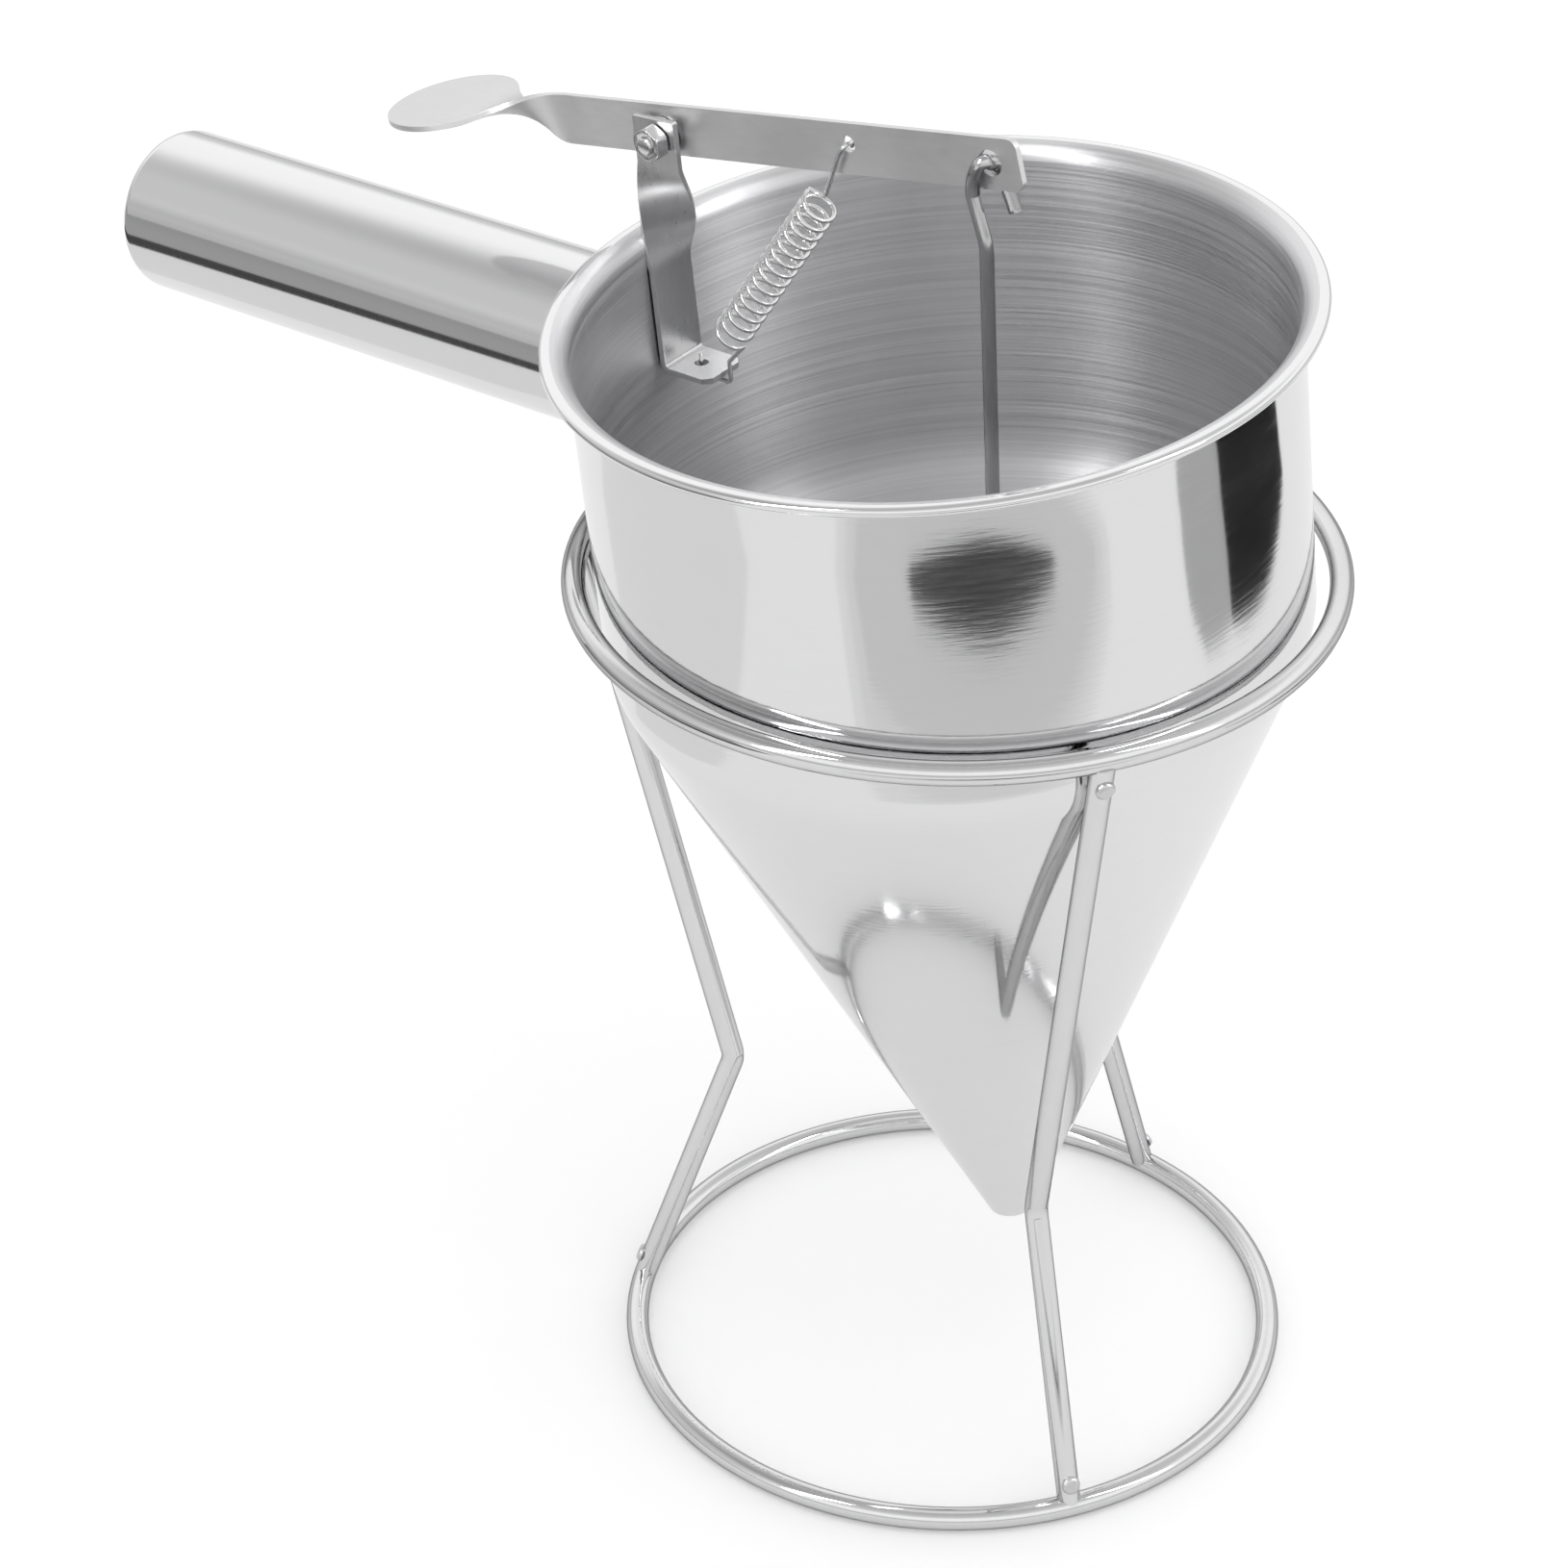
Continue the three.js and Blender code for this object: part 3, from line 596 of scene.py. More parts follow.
half = LIP_THICKNESS / 2
lip_middle = BOWL_RADIUS + LIP_REACH - half
outside = [(NOZZLE_RADIUS, -tip_depth), (NOZZLE_RADIUS + 0.12, -tip_depth + 0.3)]
outside += cone_wall(NOZZLE_RADIUS, (0.25, 0.5, 0.75))
outside += arc((shoulder_centre, -shoulder_top), SHOULDER_RADIUS, -CONE_ANGLE, 0, 12)
outside += [(BOWL_RADIUS, -shoulder_top * 0.6), (BOWL_RADIUS, -shoulder_top * 0.25)]
lip = arc((BOWL_RADIUS + LIP_FILLET, -half - LIP_FILLET), LIP_FILLET, 180, 90, 6)
lip += arc((lip_middle, 0), half, -90, 90, 10)
lip += arc((inner_radius + LIP_FLARE, half - LIP_FLARE), LIP_FLARE, 90, 180, 14)
inside = [(inner_radius, -shoulder_top * 0.25), (inner_radius, -shoulder_top * 0.6)]
inside += arc((shoulder_centre, -shoulder_top), SHOULDER_RADIUS - SHEET, 0, -CONE_ANGLE, 12)
inside += cone_wall(inner_nozzle, (0.75, 0.5, 0.25))
inside.append((inner_nozzle, -tip_depth))
shell = turned("funnel_shell", outside + lip + inside + outside[:1], steps=192)
smooth(shell, 50)

# %% Two finishes on one shell: the faces that look at the axis are brushed, up into the flare
shell.data.materials.append(polished)
shell.data.materials.append(brushed_inside)
for face in shell.data.polygons:
    away = math.hypot(face.center.x, face.center.y)
    facing_out = face.normal.x * face.center.x + face.normal.y * face.center.y
    if facing_out < -0.1 * away and away < (inner_radius + BRUSHED_REACH) * MM:
        face.material_index = 1
put(shell, funnel_place)
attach(shell, "funnel")
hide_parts("funnel_bowl", "funnel_cone")
measured(shell)

# %% [markdown]
# ## The handle
#
# A 38 mm tube with a rounded end cap is welded to the side of the bowl. The tube's near end
# follows the bowl's round wall, which a Boolean cut with a cylinder of the bowl's size gives.
# The cap is welded into the tube's end and polished over, so that the two are one surface here.

# %% Turn the tube and its cap
HANDLE_RADIUS = 19.0
HANDLE_WALL = 0.9
HANDLE_REACH = 234.6
HANDLE_DROP = 32.15
CAP_ROUNDING = 3
handle_droop = math.radians(0.74)
cap_depth = HANDLE_REACH - 4.6
cap_corner = (HANDLE_RADIUS - CAP_ROUNDING, HANDLE_REACH - CAP_ROUNDING)
handle_bore = HANDLE_RADIUS - HANDLE_WALL
tube_profile = [(0, HANDLE_REACH), (8, HANDLE_REACH)]
tube_profile += arc(cap_corner, CAP_ROUNDING, 90, 0, 8)
tube_profile += [(HANDLE_RADIUS, HANDLE_REACH - 3.15), (HANDLE_RADIUS, cap_depth)]
tube_profile += [(HANDLE_RADIUS, height) for height in range(224, 30, -8)]
tube_profile += [(handle_bore, 32), (handle_bore, cap_depth)]
tube_profile += arc(cap_corner, CAP_ROUNDING - HANDLE_WALL, 0, 90, 5)
tube_profile += [(0, HANDLE_REACH - HANDLE_WALL)]
handle = turned("handle_tube_and_cap", tube_profile, steps=128)

# %% Shape its root to the bowl, and place it
laid_down = Matrix.Rotation(-(math.pi / 2 + handle_droop), 4, "Y")
put(handle, Matrix.Translation((0, 0, -HANDLE_DROP * MM)) @ laid_down)
carve(handle, cylinder(BOWL_RADIUS + 0.05, 160, sides=288))
smooth(handle, 40)
hand_over(handle, handle_polish, "funnel", "polished_steel", "handle_tube", "handle_end_cap")

# %% [markdown]
# ## The weld around the handle's root
#
# A thin bead of weld runs round the joint of tube and bowl. It is a wire along the curve where
# the two cylinders meet, with its section swelling and shrinking a little from one
# drop of weld to the next. A Displace modifier with a stretched cloud texture does that.

# %% A rippled bead on the joint's curve
BEAD_RADIUS = 0.95
BEAD_OUTSET = 0.45
BEAD_STEPS = 180
bead_points = []
for step in range(BEAD_STEPS):
    angle = FULL_TURN * step / BEAD_STEPS
    side = (HANDLE_RADIUS + BEAD_OUTSET) * math.cos(angle)
    rise = (HANDLE_RADIUS + BEAD_OUTSET) * math.sin(angle)
    outward = math.sqrt((BOWL_RADIUS + BEAD_OUTSET) ** 2 - side ** 2)
    sag = HANDLE_DROP + outward * math.tan(handle_droop)
    bead_points.append(Vector((-outward, side, rise - sag)) * MM)
bead = wire("handle_weld", bead_points, BEAD_RADIUS * MM, 12, closed=True)
ripple = bpy.data.textures.new("weld_ripple", "CLOUDS")
ripple.noise_scale = 0.0022
swell = bead.modifiers.new("ripple", "DISPLACE")
swell.texture = ripple
swell.texture_coords = "LOCAL"
swell.strength = 0.35 * MM
swell.mid_level = 0.5
apply_modifiers(bead)
smooth(bead, 80)
hand_over(bead, weld_steel, "funnel", "weld_steel", "handle_weld_bead")

# %% [markdown]
# ## The bracket
#
# One strap of 1.4 mm steel does two jobs. Its foot is bent inwards and holds the spring, its
# middle is spot-welded to the inside of the bowl, and above the lip it is twisted a quarter turn
# so that its upper plate stands beside the lever. An edge is extruded through stations that turn
# little by little, because a real strap twists in the same way, evenly about its own middle.

# %% Stations of the strap, from the foot's tip to the upper plate
STRAP_WIDTH = 11.8
STRAP_THICKNESS = 1.4
FOOT_DEPTH = 30.7
FOOT_LENGTH = 12.8
FOOT_HOLE_INSET = 6.9
FOOT_BEND = 1.6
STRAP_BOW = 0.8  # how far the strap stands off the wall where it twists
GAP = 0.3  # between pieces that are welded, screwed or seated together
PIVOT_HOLE = 2.25
TWIST_START = -7.5
TWIST_END = 15.4
PLATE_X = -72.6
PLATE_TOP = 26.4
TOP_SLANT = math.radians(3.5)
sagitta = inner_radius - math.sqrt(inner_radius ** 2 - (STRAP_WIDTH / 2) ** 2)
wall_x = -(inner_radius - sagitta - GAP - STRAP_THICKNESS / 2)
tip_x = wall_x + FOOT_LENGTH
stations = [
    (Vector((tip_x, 0, -FOOT_DEPTH)), SIDEWAYS, STRAP_WIDTH - 3.6),
    (Vector((tip_x - 1.0, 0, -FOOT_DEPTH)), SIDEWAYS, STRAP_WIDTH - 1.4),
    (Vector((tip_x - 1.9, 0, -FOOT_DEPTH)), SIDEWAYS, STRAP_WIDTH),
]
BEND_STEPS = 8
for step in range(BEND_STEPS + 1):
    turn = math.pi / 2 * step / BEND_STEPS
    x = wall_x + FOOT_BEND * (1 - math.sin(turn))
    z = -FOOT_DEPTH + FOOT_BEND * (1 - math.cos(turn))
    stations.append((Vector((x, 0, z)), SIDEWAYS, STRAP_WIDTH))
TWIST_STEPS = 28
for step in range(TWIST_STEPS + 1):
    share = step / TWIST_STEPS
    turn = (0.7 * share + 0.3 * eased(share)) * math.pi / 2
    x = wall_x + (PLATE_X - wall_x) * eased(share) + STRAP_BOW * math.sin(math.pi * share) ** 2
    z = TWIST_START + (TWIST_END - TWIST_START) * share
    stations.append((Vector((x, 0, z)), Vector((math.sin(turn), math.cos(turn), 0)), STRAP_WIDTH))
slanted = Vector((math.cos(TOP_SLANT), 0, math.sin(TOP_SLANT)))
stations.append((Vector((PLATE_X, 0, PLATE_TOP - 0.4)), slanted, STRAP_WIDTH))
stations.append((Vector((PLATE_X, 0, PLATE_TOP)), slanted, STRAP_WIDTH - 0.8))

# %% Extrude the strap, drill it and place it
bracket = strip("bracket_strap", stations, STRAP_THICKNESS)
foot_hole = Vector((tip_x - FOOT_HOLE_INSET, 0, -FOOT_DEPTH)) * MM
drill(bracket, foot_hole, 1.5, turn=(0, 0, 0))
drill(bracket, pivot, PIVOT_HOLE)
apply_modifiers(bracket)
smooth(bracket, 30)
hand_over(bracket, strap_steel, "funnel", "strip_steel", "lever_bracket", even=True)

# %% [markdown]
# ## The thumb lever
#
# The lever is another strip, 11 mm high and standing on edge, with a round tab at the thumb's
# end that is twisted flat. It is extruded through stations like the strap, in a frame of its
# own with the pivot at the origin, and is then tilted up. Three holes go through it.

# %% Sizes and stations of the lever
LEVER_RISE = math.radians(8.8)
LEVER_HEIGHT = 11.3
LEVER_THICKNESS = 1.3
LEVER_MIDDLE = 1.25
LEVER_END = 97.6
END_CORNER = 2.4
TAB_CENTRE = -61.8
TAB_RADIUS = 14.7
TAB_LIFT = 2.0
NECK_WIDTH = 10.2
NECK_FILLET = 16.0
LEVER_TWIST_START = -28.5
WASHER_THICKNESS = 0.6
LEVER_FRONT = STRAP_THICKNESS / 2 + GAP + WASHER_THICKNESS + GAP
LEVER_BACK = LEVER_FRONT + LEVER_THICKNESS
lever_y = (LEVER_FRONT + LEVER_BACK) / 2
stations = []
CORNER_STEPS = 6
for step in range(CORNER_STEPS + 1):
    turn = math.pi / 2 * step / CORNER_STEPS
    x = LEVER_END - END_CORNER * (1 - math.cos(turn))
    width = LEVER_HEIGHT - 2 * END_CORNER * (1 - math.sin(turn))
    stations.append((Vector((x, lever_y, LEVER_MIDDLE)), UP, width))
neck_angle = math.asin((NECK_WIDTH / 2 + NECK_FILLET) / (TAB_RADIUS + NECK_FILLET))
neck_x = TAB_CENTRE + TAB_RADIUS * math.cos(neck_angle)
fillet_x = TAB_CENTRE + (TAB_RADIUS + NECK_FILLET) * math.cos(neck_angle)
NECK_STEPS = 24
for step in range(NECK_STEPS + 1):
    share = step / NECK_STEPS
    turned_flat = eased(share)
    turn = turned_flat * math.pi / 2
    x = LEVER_TWIST_START + (neck_x - LEVER_TWIST_START) * share
    middle = Vector((x, lever_y * (1 - turned_flat), LEVER_MIDDLE + TAB_LIFT * turned_flat))
    width = LEVER_HEIGHT + (NECK_WIDTH - LEVER_HEIGHT) * turned_flat
    if middle.x < fillet_x:
        width += 2 * (NECK_FILLET - math.sqrt(NECK_FILLET ** 2 - (fillet_x - middle.x) ** 2))
    stations.append((middle, Vector((0, -math.sin(turn), math.cos(turn))), width))
TAB_STEPS = 30
for step in range(1, TAB_STEPS + 1):
    angle = neck_angle + (math.pi - neck_angle) * step / (TAB_STEPS + 0.35)
    middle = Vector((TAB_CENTRE + TAB_RADIUS * math.cos(angle), 0, LEVER_MIDDLE + TAB_LIFT))
    stations.append((middle, -SIDEWAYS, 2 * TAB_RADIUS * math.sin(angle)))

# %% Extrude the lever, drill it and tilt it
SPRING_HOLE = Vector((52.5, lever_y, 2.3))
ROD_HOLE = Vector((90.05, lever_y, 1.4))
lever = strip("lever_strip", stations, LEVER_THICKNESS)
drill(lever, Vector((0, lever_y, 0)) * MM, PIVOT_HOLE)
drill(lever, SPRING_HOLE * MM, 1.8)
drill(lever, ROD_HOLE * MM, 2.8)
apply_modifiers(lever)
smooth(lever, 30)
tilted = Matrix.Rotation(-LEVER_RISE, 4, "Y")
place = funnel_place @ (Matrix.Translation(pivot) @ tilted)
hand_over(lever, strip_steel, "lever", "strip_steel", "thumb_lever", place=place, even=True)

# %% [markdown]
# ## The pivot screw
#
# An M4 screw holds the lever to the bracket, with a washer between them and a nut on the near
# side. A nut's corners are chamfered by a cone on both faces. That is cut here by intersecting
# the hexagon with a turned disc whose edges slope away, as a lathe does it.

# %% Helpers: a place at the pivot, a chamfered hexagon, and soft edges
HEX_RADIUS = 3.5 / math.cos(math.radians(30))
FACE_RADIUS = 3.35  # of the flat round face that the chamfer leaves


def put_at_pivot(piece, behind):
    """Lays a piece along the pivot, its middle so many mm behind the middle of the plate."""
    middle = pivot + Vector((0, behind * MM, 0))
    return put(piece, Matrix.Translation(middle) @ Matrix.Rotation(math.pi / 2, 4, "X"))


def hexagon(name, back, front):
    """A hexagon across the flats of 7 mm between two distances behind the bracket's plate."""
    piece = cylinder(HEX_RADIUS, front - back, sides=6)
    piece.name = name
    end = (front - back) / 2
    rim = HEX_RADIUS + 0.1
    disc_profile = [(0, -end), (FACE_RADIUS, -end), (rim, -end + 0.42)]
    disc_profile += [(rim, end - 0.42), (FACE_RADIUS, end), (0, end)]
    carve(piece, turned(name + "_chamfer", disc_profile, steps=48), "INTERSECT")
    return put_at_pivot(piece, (back + front) / 2)


def soften(piece, width):
    """Breaks the sharp edges of a piece."""
    break_edges(piece, width, 25)
    apply_modifiers(piece)
    smooth(piece, 25)


# %% The nut. The bevel leaves very short edges at its bore, whose points are merged
NUT_HEIGHT = 3.2
plate_front = -STRAP_THICKNESS / 2
nut = hexagon("hex_nut", plate_front - GAP - NUT_HEIGHT, plate_front - GAP)
bore_place = pivot + Vector((0, (plate_front - 1.9) * MM, 0))
carve(nut, cylinder(2.15, 8, place=bore_place, turn=FACING_Y))
soften(nut, 0.12 * MM)
pick(nut)
bpy.ops.object.mode_set(mode="EDIT")
merge_points(0.004 * MM)
bpy.ops.object.mode_set(mode="OBJECT")
hand_over(nut, fastener_steel, "funnel", "fastener_steel", "pivot_nut", even=True)

# %% The screw: a turned shank with a rounded end, and a hexagon head behind the lever
SHANK_RADIUS = 1.95
HEAD_HEIGHT = 2.8
head_front = LEVER_BACK + GAP
shank_end = plate_front - GAP - NUT_HEIGHT - 0.8
shank_profile = [(0, -shank_end), (1.15, -shank_end), (1.6, -shank_end - 0.12)]
shank_profile += [(SHANK_RADIUS, -shank_end - 0.5), (SHANK_RADIUS, -head_front - 0.2)]
shank_profile += [(0, -head_front - 0.2)]
screw = put_at_pivot(turned("pivot_screw", shank_profile, steps=40), 0)
head = hexagon("screw_head", head_front, head_front + HEAD_HEIGHT)
soften(head, 0.12 * MM)
deselect_all()
head.select_set(True)
screw.select_set(True)
bpy.context.view_layer.objects.active = screw
bpy.ops.object.join()
smooth(screw, 30)
hand_over(screw, fastener_steel, "funnel", "fastener_steel", "pivot_bolt", even=True)

# %% The washer between the strap and the lever
washer_profile = [(2.25, -0.3), (4.3, -0.3), (4.4, -0.2), (4.4, 0.2), (4.3, 0.3), (2.25, 0.3)]
washer = turned("plain_washer", washer_profile + washer_profile[:1], steps=48)
smooth(washer, 25)
put_at_pivot(washer, STRAP_THICKNESS / 2 + GAP + WASHER_THICKNESS / 2)
hand_over(washer, fastener_steel, "funnel", "fastener_steel", "pivot_washer", even=True)

# %% [markdown]
# ## The return spring
#
# Fourteen and a half open turns of 1 mm wire, with a hook through the bracket's foot and a
# straight tail and hook through the lever. The path is drawn as points: a line for each hook and
# a helix for the coil. When the lever's tab goes down the spring stretches; here its mesh is one
# fixed shape, put in the funnel's place.

# %% Points along the spring
COIL_RADIUS = 3.75
SPRING_WIRE = 0.5
COIL_TURNS = 14.5
coil_top = Vector((-27.4, 0, 18.2))
coil_foot = Vector((-57.4, 0, -20.6))
along = (coil_top - coil_foot).normalized()
side = Vector((0, -1, 0))
aside = along.cross(side).normalized()
coil = []
TURN_STEPS = 20
for step in range(round(COIL_TURNS * TURN_STEPS) + 1):
    angle = FULL_TURN * step / TURN_STEPS
    middle = coil_foot.lerp(coil_top, step / (COIL_TURNS * TURN_STEPS))
    middle = middle + aside * COIL_RADIUS * math.cos(angle)
    coil.append(middle + side * COIL_RADIUS * math.sin(angle))
clear = SPRING_WIRE + GAP
under = -FOOT_DEPTH - STRAP_THICKNESS / 2 - clear - SPRING_WIRE
over = -FOOT_DEPTH + STRAP_THICKNESS / 2 + 2.4
beside = tip_x + clear + SPRING_WIRE
foot_hook = [
    Vector((tip_x - FOOT_HOLE_INSET, 0, over)),
    Vector((tip_x - FOOT_HOLE_INSET, 0, under)),
    Vector((beside, 0, under)),
    Vector((beside, 0, over)),
    coil[0],
]
hole = pivot / MM + tilted.to_3x3() @ SPRING_HOLE
in_front = Vector((hole.x, LEVER_FRONT - clear - SPRING_WIRE, hole.z))
behind = Vector((hole.x, LEVER_BACK + clear + SPRING_WIRE, hole.z))
lever_hook = [
    coil[-1],
    coil_top + along * 1.6,
    in_front - along * 2.6,
    in_front,
    behind,
    behind - along * 2.4,
]

# %% Bend the spring's wire
spring_points = bent(foot_hook, 1.2)[:-1] + coil + bent(lever_hook, 1.1)[1:]
spring = wire("spring_coil", [point * MM for point in spring_points], SPRING_WIRE * MM, 12)
smooth(spring, 60)
put(spring, funnel_place)
spring.data.materials.append(spring_steel)
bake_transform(spring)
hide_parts("return_spring")
measured(spring)

# %% [markdown]
# ## The valve rod and its stopper
#
# A 3 mm rod hangs in the lever by an open hook and runs down to the stopper in the nozzle.
# The hook is one smooth curve through a few points, and the stopper is a small turned cone
# of rubber that the rod is pushed into.

# %% Helper: a smooth curve through points


def through(points, steps):
    """A centripetal curve through the points, as many steps in all."""
    ends = [points[0] * 2 - points[1], *points, points[-1] * 2 - points[-2]]
    count = len(points) - 1
    made = []
    for index in range(steps + 1):
        position = index / steps * count
        segment = min(int(position), count - 1)
        t = position - segment
        a, b, c, d = ends[segment : segment + 4]
        knots = [0.0]
        for before, after in ((a, b), (b, c), (c, d)):
            knots.append(knots[-1] + max((after - before).length ** 0.5, 1e-6))
        at = knots[1] + (knots[2] - knots[1]) * t
        levels = [a, b, c, d]
        for width in (1, 2, 3):
            following = []
            for i in range(4 - width):
                low, high = (knots[1], knots[2]) if width == 3 else (knots[i], knots[i + width])
                share = (at - low) / (high - low)
                following.append(levels[i] * (1 - share) + levels[i + 1] * share)
            levels = following
        made.append(levels[0])
    return made


# %% The rod's path, from inside the stopper up to the hook's end
ROD_RADIUS = 1.45
ROD_CLEARANCE = 0.6  # between the lever's faces and the hook
HOOK_RISE = 2.0
HOOK_TAIL = 11.3
PLUG_HEIGHT = 7.5
ROD_DEPTH = 4.7  # in the stopper
rod_hole = pivot / MM + tilted.to_3x3() @ ROD_HOLE
front = LEVER_FRONT - ROD_RADIUS - ROD_CLEARANCE
back = LEVER_BACK + ROD_RADIUS + ROD_CLEARANCE
between = (front + LEVER_FRONT) / 2
hook_places = [
    (-3.37, front, -6.96),
    (-3.2, front, -4.9),
    (-2.7, front, -2.9),
    (-1.9, front, -1.1),
    (-1.1, front + 0.2, 0.3),
    (-0.4, between, HOOK_RISE / 2 - 0.3),
    (0, LEVER_FRONT, 0.1),
    (0, LEVER_BACK, -0.5),
    (0.2, back, -HOOK_RISE - 0.8),
    (1.0, back, -HOOK_TAIL / 2),
    (2.8, back, -HOOK_TAIL),
]
hook = through([Vector((rod_hole.x + x, y, rod_hole.z + z)) for x, y, z in hook_places], 80)
plug_bottom = -tip_depth + 0.6
plug_top = plug_bottom + PLUG_HEIGHT
rod_base = Vector((0, 0, plug_top - ROD_DEPTH))
knee = Vector((rod_hole.x - 0.87, front / 2, rod_hole.z - 17.46))
rod_points = bent([rod_base, knee, hook[0]], 16, 18)[:-1] + hook

# %% Bend the rod and break the edges of its ends
rod = wire("valve_rod_wire", [point * MM for point in rod_points], ROD_RADIUS * MM, 20)
soften(rod, 0.2 * MM)
smooth(rod, 40)
hand_over(rod, rod_steel, "valve", "wire_steel", "valve_rod")

# %% Turn the stopper
PLUG_PLAY = 0.3 / math.cos(cone_turn)  # between the stopper and the cone


def plug_radius(height):
    """The stopper's radius where it seats in the cone."""
    return inner_nozzle + (height + tip_depth) * cone_slope - PLUG_PLAY


plug_shoulder = plug_top - PLUG_HEIGHT / 4
narrow = plug_radius(plug_bottom)
wide = plug_radius(plug_shoulder)
plug_profile = [(0, plug_bottom), (narrow - 0.3, plug_bottom), (narrow, plug_bottom + 0.3)]
plug_profile += [(wide - 0.15, plug_shoulder - 0.25), (wide, plug_shoulder + 0.1)]
plug_profile += [(wide - 0.25, plug_shoulder + 0.5), (wide - 1.6, plug_top - 0.15)]
plug_profile += [(wide - 2.0, plug_top), (0, plug_top)]
plug = turned("stopper_cone", plug_profile, steps=56)
smooth(plug, 35)
hand_over(plug, rubber, "valve", "stopper", "valve_plug")

# %% [markdown]
# ## The wire stand
#
# Two rings of 5 mm wire are joined by three legs, each with one knee that turns inwards.
# A ring is a circle of wire whose ends are butt-welded, so each ring is a circle section spun
# round the axis. The legs run into the rings here, as a weld melts them together.

# %% The two rings
WIRE = 2.57
STAND_HEIGHT = 204.1
RING_RADIUS = BOWL_RADIUS + 2.8 + WIRE
BASE_RADIUS = 73.3
RING_HEIGHT = STAND_HEIGHT - WIRE


def stand_ring(name, radius, height, solid):
    """A ring of the stand's wire round its axis."""
    deselect_all()
    bpy.ops.mesh.primitive_circle_add(
        vertices=24,
        radius=WIRE * MM,
        location=(radius * MM, 0, height * MM),
        rotation=FACING_Y,
    )
    piece = bpy.context.object
    piece.name = name
    bpy.ops.object.transform_apply(location=True, rotation=True, scale=True)
    bpy.ops.object.mode_set(mode="EDIT")
    bpy.ops.mesh.select_all(action="SELECT")
    bpy.ops.mesh.spin(steps=160, angle=FULL_TURN, center=(0, 0, 0), axis=(0, 0, 1))
    close_shell()
    smooth(piece, 60)
    hand_over(piece, wire_steel, "stand", "wire_steel", solid, place=stand_place)


stand_ring("upper_ring", RING_RADIUS, RING_HEIGHT, "stand_top_ring")
stand_ring("base_ring", BASE_RADIUS, WIRE, "stand_base_ring")

# %% The three legs, each with its two welds
LEG_AZIMUTHS = {"front": -30, "right": 90, "left": 210}
KINK_RADIUS = 50.5
KINK_HEIGHT = 68.7
TOP_OUTSET = 0.65  # of the leg's upper end, beyond the ring's middle line
END_INSET = 0.8  # of the leg's ends, short of that line
WELD_INSET = WIRE / math.cos(math.pi / 8) + GAP + 2.6  # of a weld's middle from the leg's end
nugget_profile = [(0, 0), (2.1, 0), *arc((1.15, 0.25), 0.95, 0, 90, 6), (0, 1.3)]
for leg_name, azimuth in LEG_AZIMUTHS.items():
    out = Vector((math.cos(math.radians(azimuth)), math.sin(math.radians(azimuth)), 0))
    kink = out * KINK_RADIUS + UP * KINK_HEIGHT
    top_end = out * (RING_RADIUS + TOP_OUTSET) + UP * RING_HEIGHT
    foot_end = out * BASE_RADIUS + UP * WIRE
    top_way = (top_end - kink).normalized()
    foot_way = (foot_end - kink).normalized()
    path = bent([foot_end - foot_way * END_INSET, kink, top_end - top_way * END_INSET], 7.0, 12)
    leg = wire("leg_" + leg_name, [point * MM for point in path], WIRE * MM, 24)
    smooth(leg, 60)
    solid = "stand_leg_" + leg_name
    hand_over(leg, wire_steel, "stand", "wire_steel", solid, place=stand_place)
    for end_name, end, way in (("top", top_end, top_way), ("foot", foot_end, foot_way)):
        outward = (out - way * out.dot(way)).normalized()
        middle = end - way * WELD_INSET + outward * (WIRE - 0.35)
        facing_out = outward.to_track_quat("Z", "Y").to_matrix().to_4x4()
        nugget = turned(f"{end_name}_nugget_{leg_name}", nugget_profile, steps=32)
        smooth(nugget, 50)
        put(nugget, Matrix.Translation(middle * MM) @ facing_out)
        solid = f"{end_name}_weld_{leg_name}"
        hand_over(nugget, weld_steel, "stand", "weld_steel", solid, place=stand_place)

# %% [markdown]
# ## The studio
#
# The object stands on white paper in soft light. Polished steel shows its surroundings and
# little else, so the surroundings are what is lit: a sky that is brightest between the horizon
# and overhead, two windows, and dark cards on the floor, which only reflections see.
# One lamp that reflections don't see lifts the floor to white and leaves a soft shadow.

# %% Helper: a dull paint


def matte(name, level):
    """A paint of one grey without any gloss, and its shader."""
    paint = bpy.data.materials.new(name)
    paint.use_nodes = True
    shader = paint.node_tree.nodes["Principled BSDF"]
    grey = (level, level, level, 1)
    fill(shader, {"Base Color": grey, "Roughness": 1.0, "Specular IOR Level": 0.0})
    return paint, shader


# %% The floor, which glows a little to the camera alone
deselect_all()
bpy.ops.mesh.primitive_plane_add(size=9, location=(stand_x, stand_y, -0.0002))
floor = bpy.context.object
floor.name = "floor"
paper, shader = matte("white_paper", 1.0)
tree = paper.node_tree
seen = node(tree, "ShaderNodeLightPath", -500, -200)
lift = node(tree, "ShaderNodeMath", -300, -200, operation="MULTIPLY")
lift.inputs[1].default_value = 0.13
tree.links.new(seen.outputs["Is Camera Ray"], lift.inputs[0])
tree.links.new(lift.outputs["Value"], shader.inputs["Emission Strength"])
floor.data.materials.append(paper)

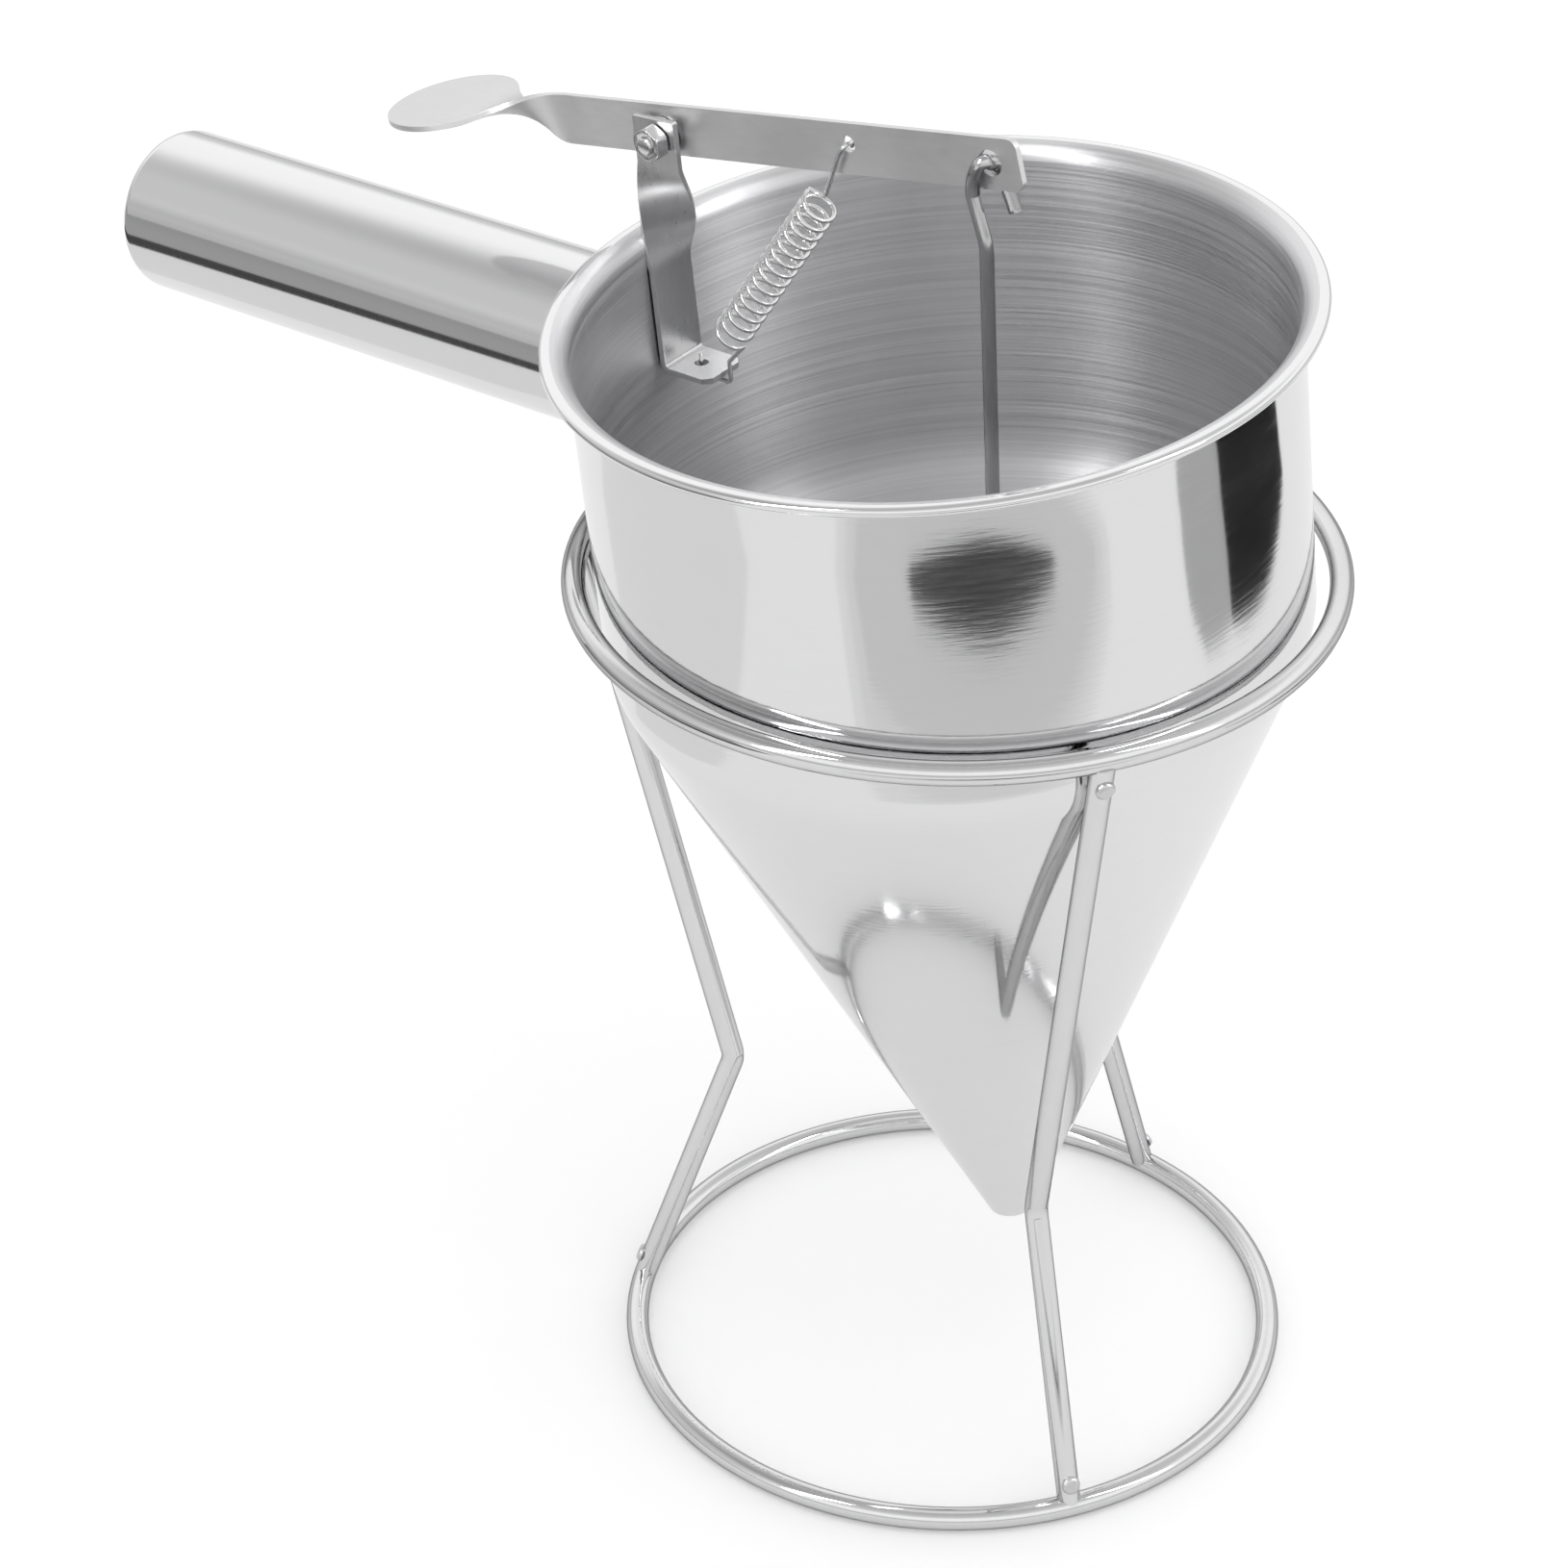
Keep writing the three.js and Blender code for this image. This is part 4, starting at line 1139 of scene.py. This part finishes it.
# %% The sky: brightness by height above the horizon, white to the camera
world = bpy.context.scene.world or bpy.data.worlds.new("studio")
bpy.context.scene.world = world
world.use_nodes = True
sky = world.node_tree
sky.nodes.clear()
link = sky.links.new
way = node(sky, "ShaderNodeTexCoord", -900, 0)
parts = node(sky, "ShaderNodeSeparateXYZ", -700, 0)
link(way.outputs["Generated"], parts.inputs["Vector"])
ramp = node(sky, "ShaderNodeValToRGB", -500, 0)
ramp.color_ramp.interpolation = "EASE"
levels = [(0.0, 0.5), (0.12, 0.62), (0.32, 1.0), (0.55, 1.0), (0.8, 0.62), (1.0, 0.5)]
while len(ramp.color_ramp.elements) < len(levels):
    ramp.color_ramp.elements.new(0.5)
for element, (position, level) in zip(ramp.color_ramp.elements, levels):
    element.position = position
    element.color = (level, level, level, 1)
link(parts.outputs["Z"], ramp.inputs["Fac"])
DIM_SIDE = (-0.645, -0.452, 0.616)  # the direction in which the sky is darkest
towards = node(sky, "ShaderNodeVectorMath", -700, -250, operation="DOT_PRODUCT")
towards.inputs[1].default_value = DIM_SIDE
link(way.outputs["Generated"], towards.inputs[0])
shaded = node(sky, "ShaderNodeMapRange", -500, -250, interpolation_type="SMOOTHSTEP")
fill(shaded, {"From Min": 0.74, "From Max": 0.97, "To Min": 1.15, "To Max": 0.70})
link(towards.outputs["Value"], shaded.inputs["Value"])
soft = node(sky, "ShaderNodeBackground", -200, 0)
link(shaded.outputs["Result"], soft.inputs["Strength"])
link(ramp.outputs["Color"], soft.inputs["Color"])
plain = node(sky, "ShaderNodeBackground", -200, -150)
plain.inputs["Color"].default_value = (1, 1, 1, 1)
rays = node(sky, "ShaderNodeLightPath", -200, 300)
choose = node(sky, "ShaderNodeMixShader", 50, 0)
link(rays.outputs["Is Camera Ray"], choose.inputs["Fac"])
link(soft.outputs["Background"], choose.inputs[1])
link(plain.outputs["Background"], choose.inputs[2])
result = node(sky, "ShaderNodeOutputWorld", 250, 0)
link(choose.outputs["Shader"], result.inputs["Surface"])

# %% Helper: a card that only reflections see


def card(name, corners, level, glow=0.0):
    """A flat card with these corners in metres, of one grey, or one that shines."""
    flag = drawn_line(name, corners)
    bpy.ops.mesh.edge_face_add()
    bpy.ops.object.mode_set(mode="OBJECT")
    paint, shader = matte(name, level)
    fill(shader, {"Emission Color": (1, 1, 1, 1), "Emission Strength": glow})
    flag.data.materials.append(paint)
    flag.visible_camera = False
    flag.visible_shadow = False
    flag.visible_diffuse = False
    flag.visible_transmission = False


def floor_card(name, level, height, *places):
    """A card that lies at this height over the floor."""
    card(name, [Vector((x, y, height)) for x, y in places], level)


# %% Dark cards on the floor in front of the bowl, over a soft grey haze
floor_card(
    "card_near", 0.06, 0.004,
    (0.300, -0.412), (0.400, -0.375), (0.455, -0.335), (0.540, -0.245), (0.590, -0.150),
    (0.545, -0.160), (0.482, -0.218), (0.425, -0.268), (0.375, -0.315), (0.305, -0.372),
)
floor_card(
    "card_thin", 0.05, 0.004,
    (0.346, -0.428), (0.461, -0.376), (0.565, -0.268), (0.509, -0.305), (0.434, -0.365),
)
for name, level, height, out in (
    ("haze_pale", 0.88, 0.001, 0.045), ("haze_mid", 0.80, 0.0015, 0.02475),
    ("haze_core", 0.70, 0.002, 0.0045),
):
    floor_card(
        name, level, height,
        (0.190 - out, -0.455 - out), (0.450, -0.430 - out), (0.590 + out, -0.270 - out),
        (0.640 + out, -0.050 + out), (0.575, -0.060 + out), (0.489, -0.120 + out),
        (0.310 - out, -0.280 + out), (0.193 - out, -0.370 + out),
    )

# %% Cards on the floor to the bowl's right and beyond the handle
floor_card(
    "card_right", 0.02, 0.003,
    (0.574, 0.352), (0.524, 0.361), (0.478, 0.338), (0.436, 0.305), (0.396, 0.341),
    (0.326, 0.403), (0.269, 0.459), (0.238, 0.504), (0.280, 0.550), (0.468, 0.469),
)
floor_card(
    "card_grey", 0.48, 0.002,
    (0.640, 0.240), (0.574, 0.352), (0.524, 0.361), (0.478, 0.338), (0.436, 0.305),
    (0.480, 0.225), (0.532, 0.203), (0.570, 0.210),
)
floor_card(
    "card_far", 0.42, 0.002,
    (-0.80, -0.16), (-0.14, -0.72), (-1.9, -5.0), (-5.0, -5.0), (-5.0, -0.9),
)
floor_card(
    "card_edge", 0.07, 0.003,
    (-0.68, -0.03), (-0.31, -0.325), (-0.20, -0.335), (-0.04, -0.45), (-0.03, -0.85),
    (-0.14, -0.72), (-0.80, -0.16),
)
floor_card(
    "card_pale", 0.87, 0.001,
    (-0.75, 0.05), (-0.2, -0.05), (-0.08, -0.27), (-0.04, -0.45), (-0.20, -0.335),
    (-0.31, -0.325), (-0.68, -0.03),
)

# %% Two tall soft windows, which draw the light streaks on the brushed inside
WINDOW_HALF = 0.07
for name, azimuth, glow in (("window_left", -103, 16), ("window_right", 21, 9)):
    facing = Vector((math.cos(math.radians(azimuth)), math.sin(math.radians(azimuth)), 0))
    across = Vector((-facing.y, facing.x, 0)) * WINDOW_HALF
    low_edge = Vector((stand_x, stand_y, 0.65)) + facing * 1.5
    high_edge = Vector((stand_x, stand_y, 2.2)) + facing * 1.1
    corners = [low_edge - across, low_edge + across, high_edge + across, high_edge - across]
    card(name, corners, 0.8, glow)

# %% The lamp that lifts the floor, unseen by reflections
deselect_all()
bpy.ops.object.light_add(type="AREA", location=(0.1, -0.1, 2.6))
lamp = bpy.context.object
lamp.name = "floor_lamp"
lamp.data.shape = "DISK"
lamp.data.size = 2.4
lamp.data.energy = 12
lamp.visible_glossy = False
lamp.visible_camera = False

# %% [markdown]
# ## The camera
#
# The camera was found from the rings and the lip in the photo: it looks down by about 33
# degrees, stands about a metre away and is tilted by one degree. Its matrix is built from those
# angles, so that a reader can see each of them, and the shift stays at zero.

# %% The camera at the photo's angle
camera_place = Vector((0.60502, -0.65189, 0.68503))
heading = math.radians(41.53)
pitch = 0.569184
roll = -0.0173155
right = Vector((1, 0, 0))
above = Vector((0, math.sin(pitch), math.cos(pitch)))
ahead = Vector((0, math.cos(pitch), -math.sin(pitch)))
rolled_right = right * math.cos(roll) + above * math.sin(roll)
rolled_up = above * math.cos(roll) - right * math.sin(roll)
turn = Matrix.Rotation(heading, 3, "Z")
axes = Matrix((turn @ rolled_right, turn @ rolled_up, turn @ -ahead)).transposed()
deselect_all()
bpy.ops.object.camera_add()
camera = bpy.context.object
camera.matrix_world = Matrix.Translation(camera_place) @ axes.to_4x4()
camera.data.lens = 105.68
camera.data.sensor_width = 36
bpy.context.scene.camera = camera
bpy.context.scene.view_settings.view_transform = "Standard"
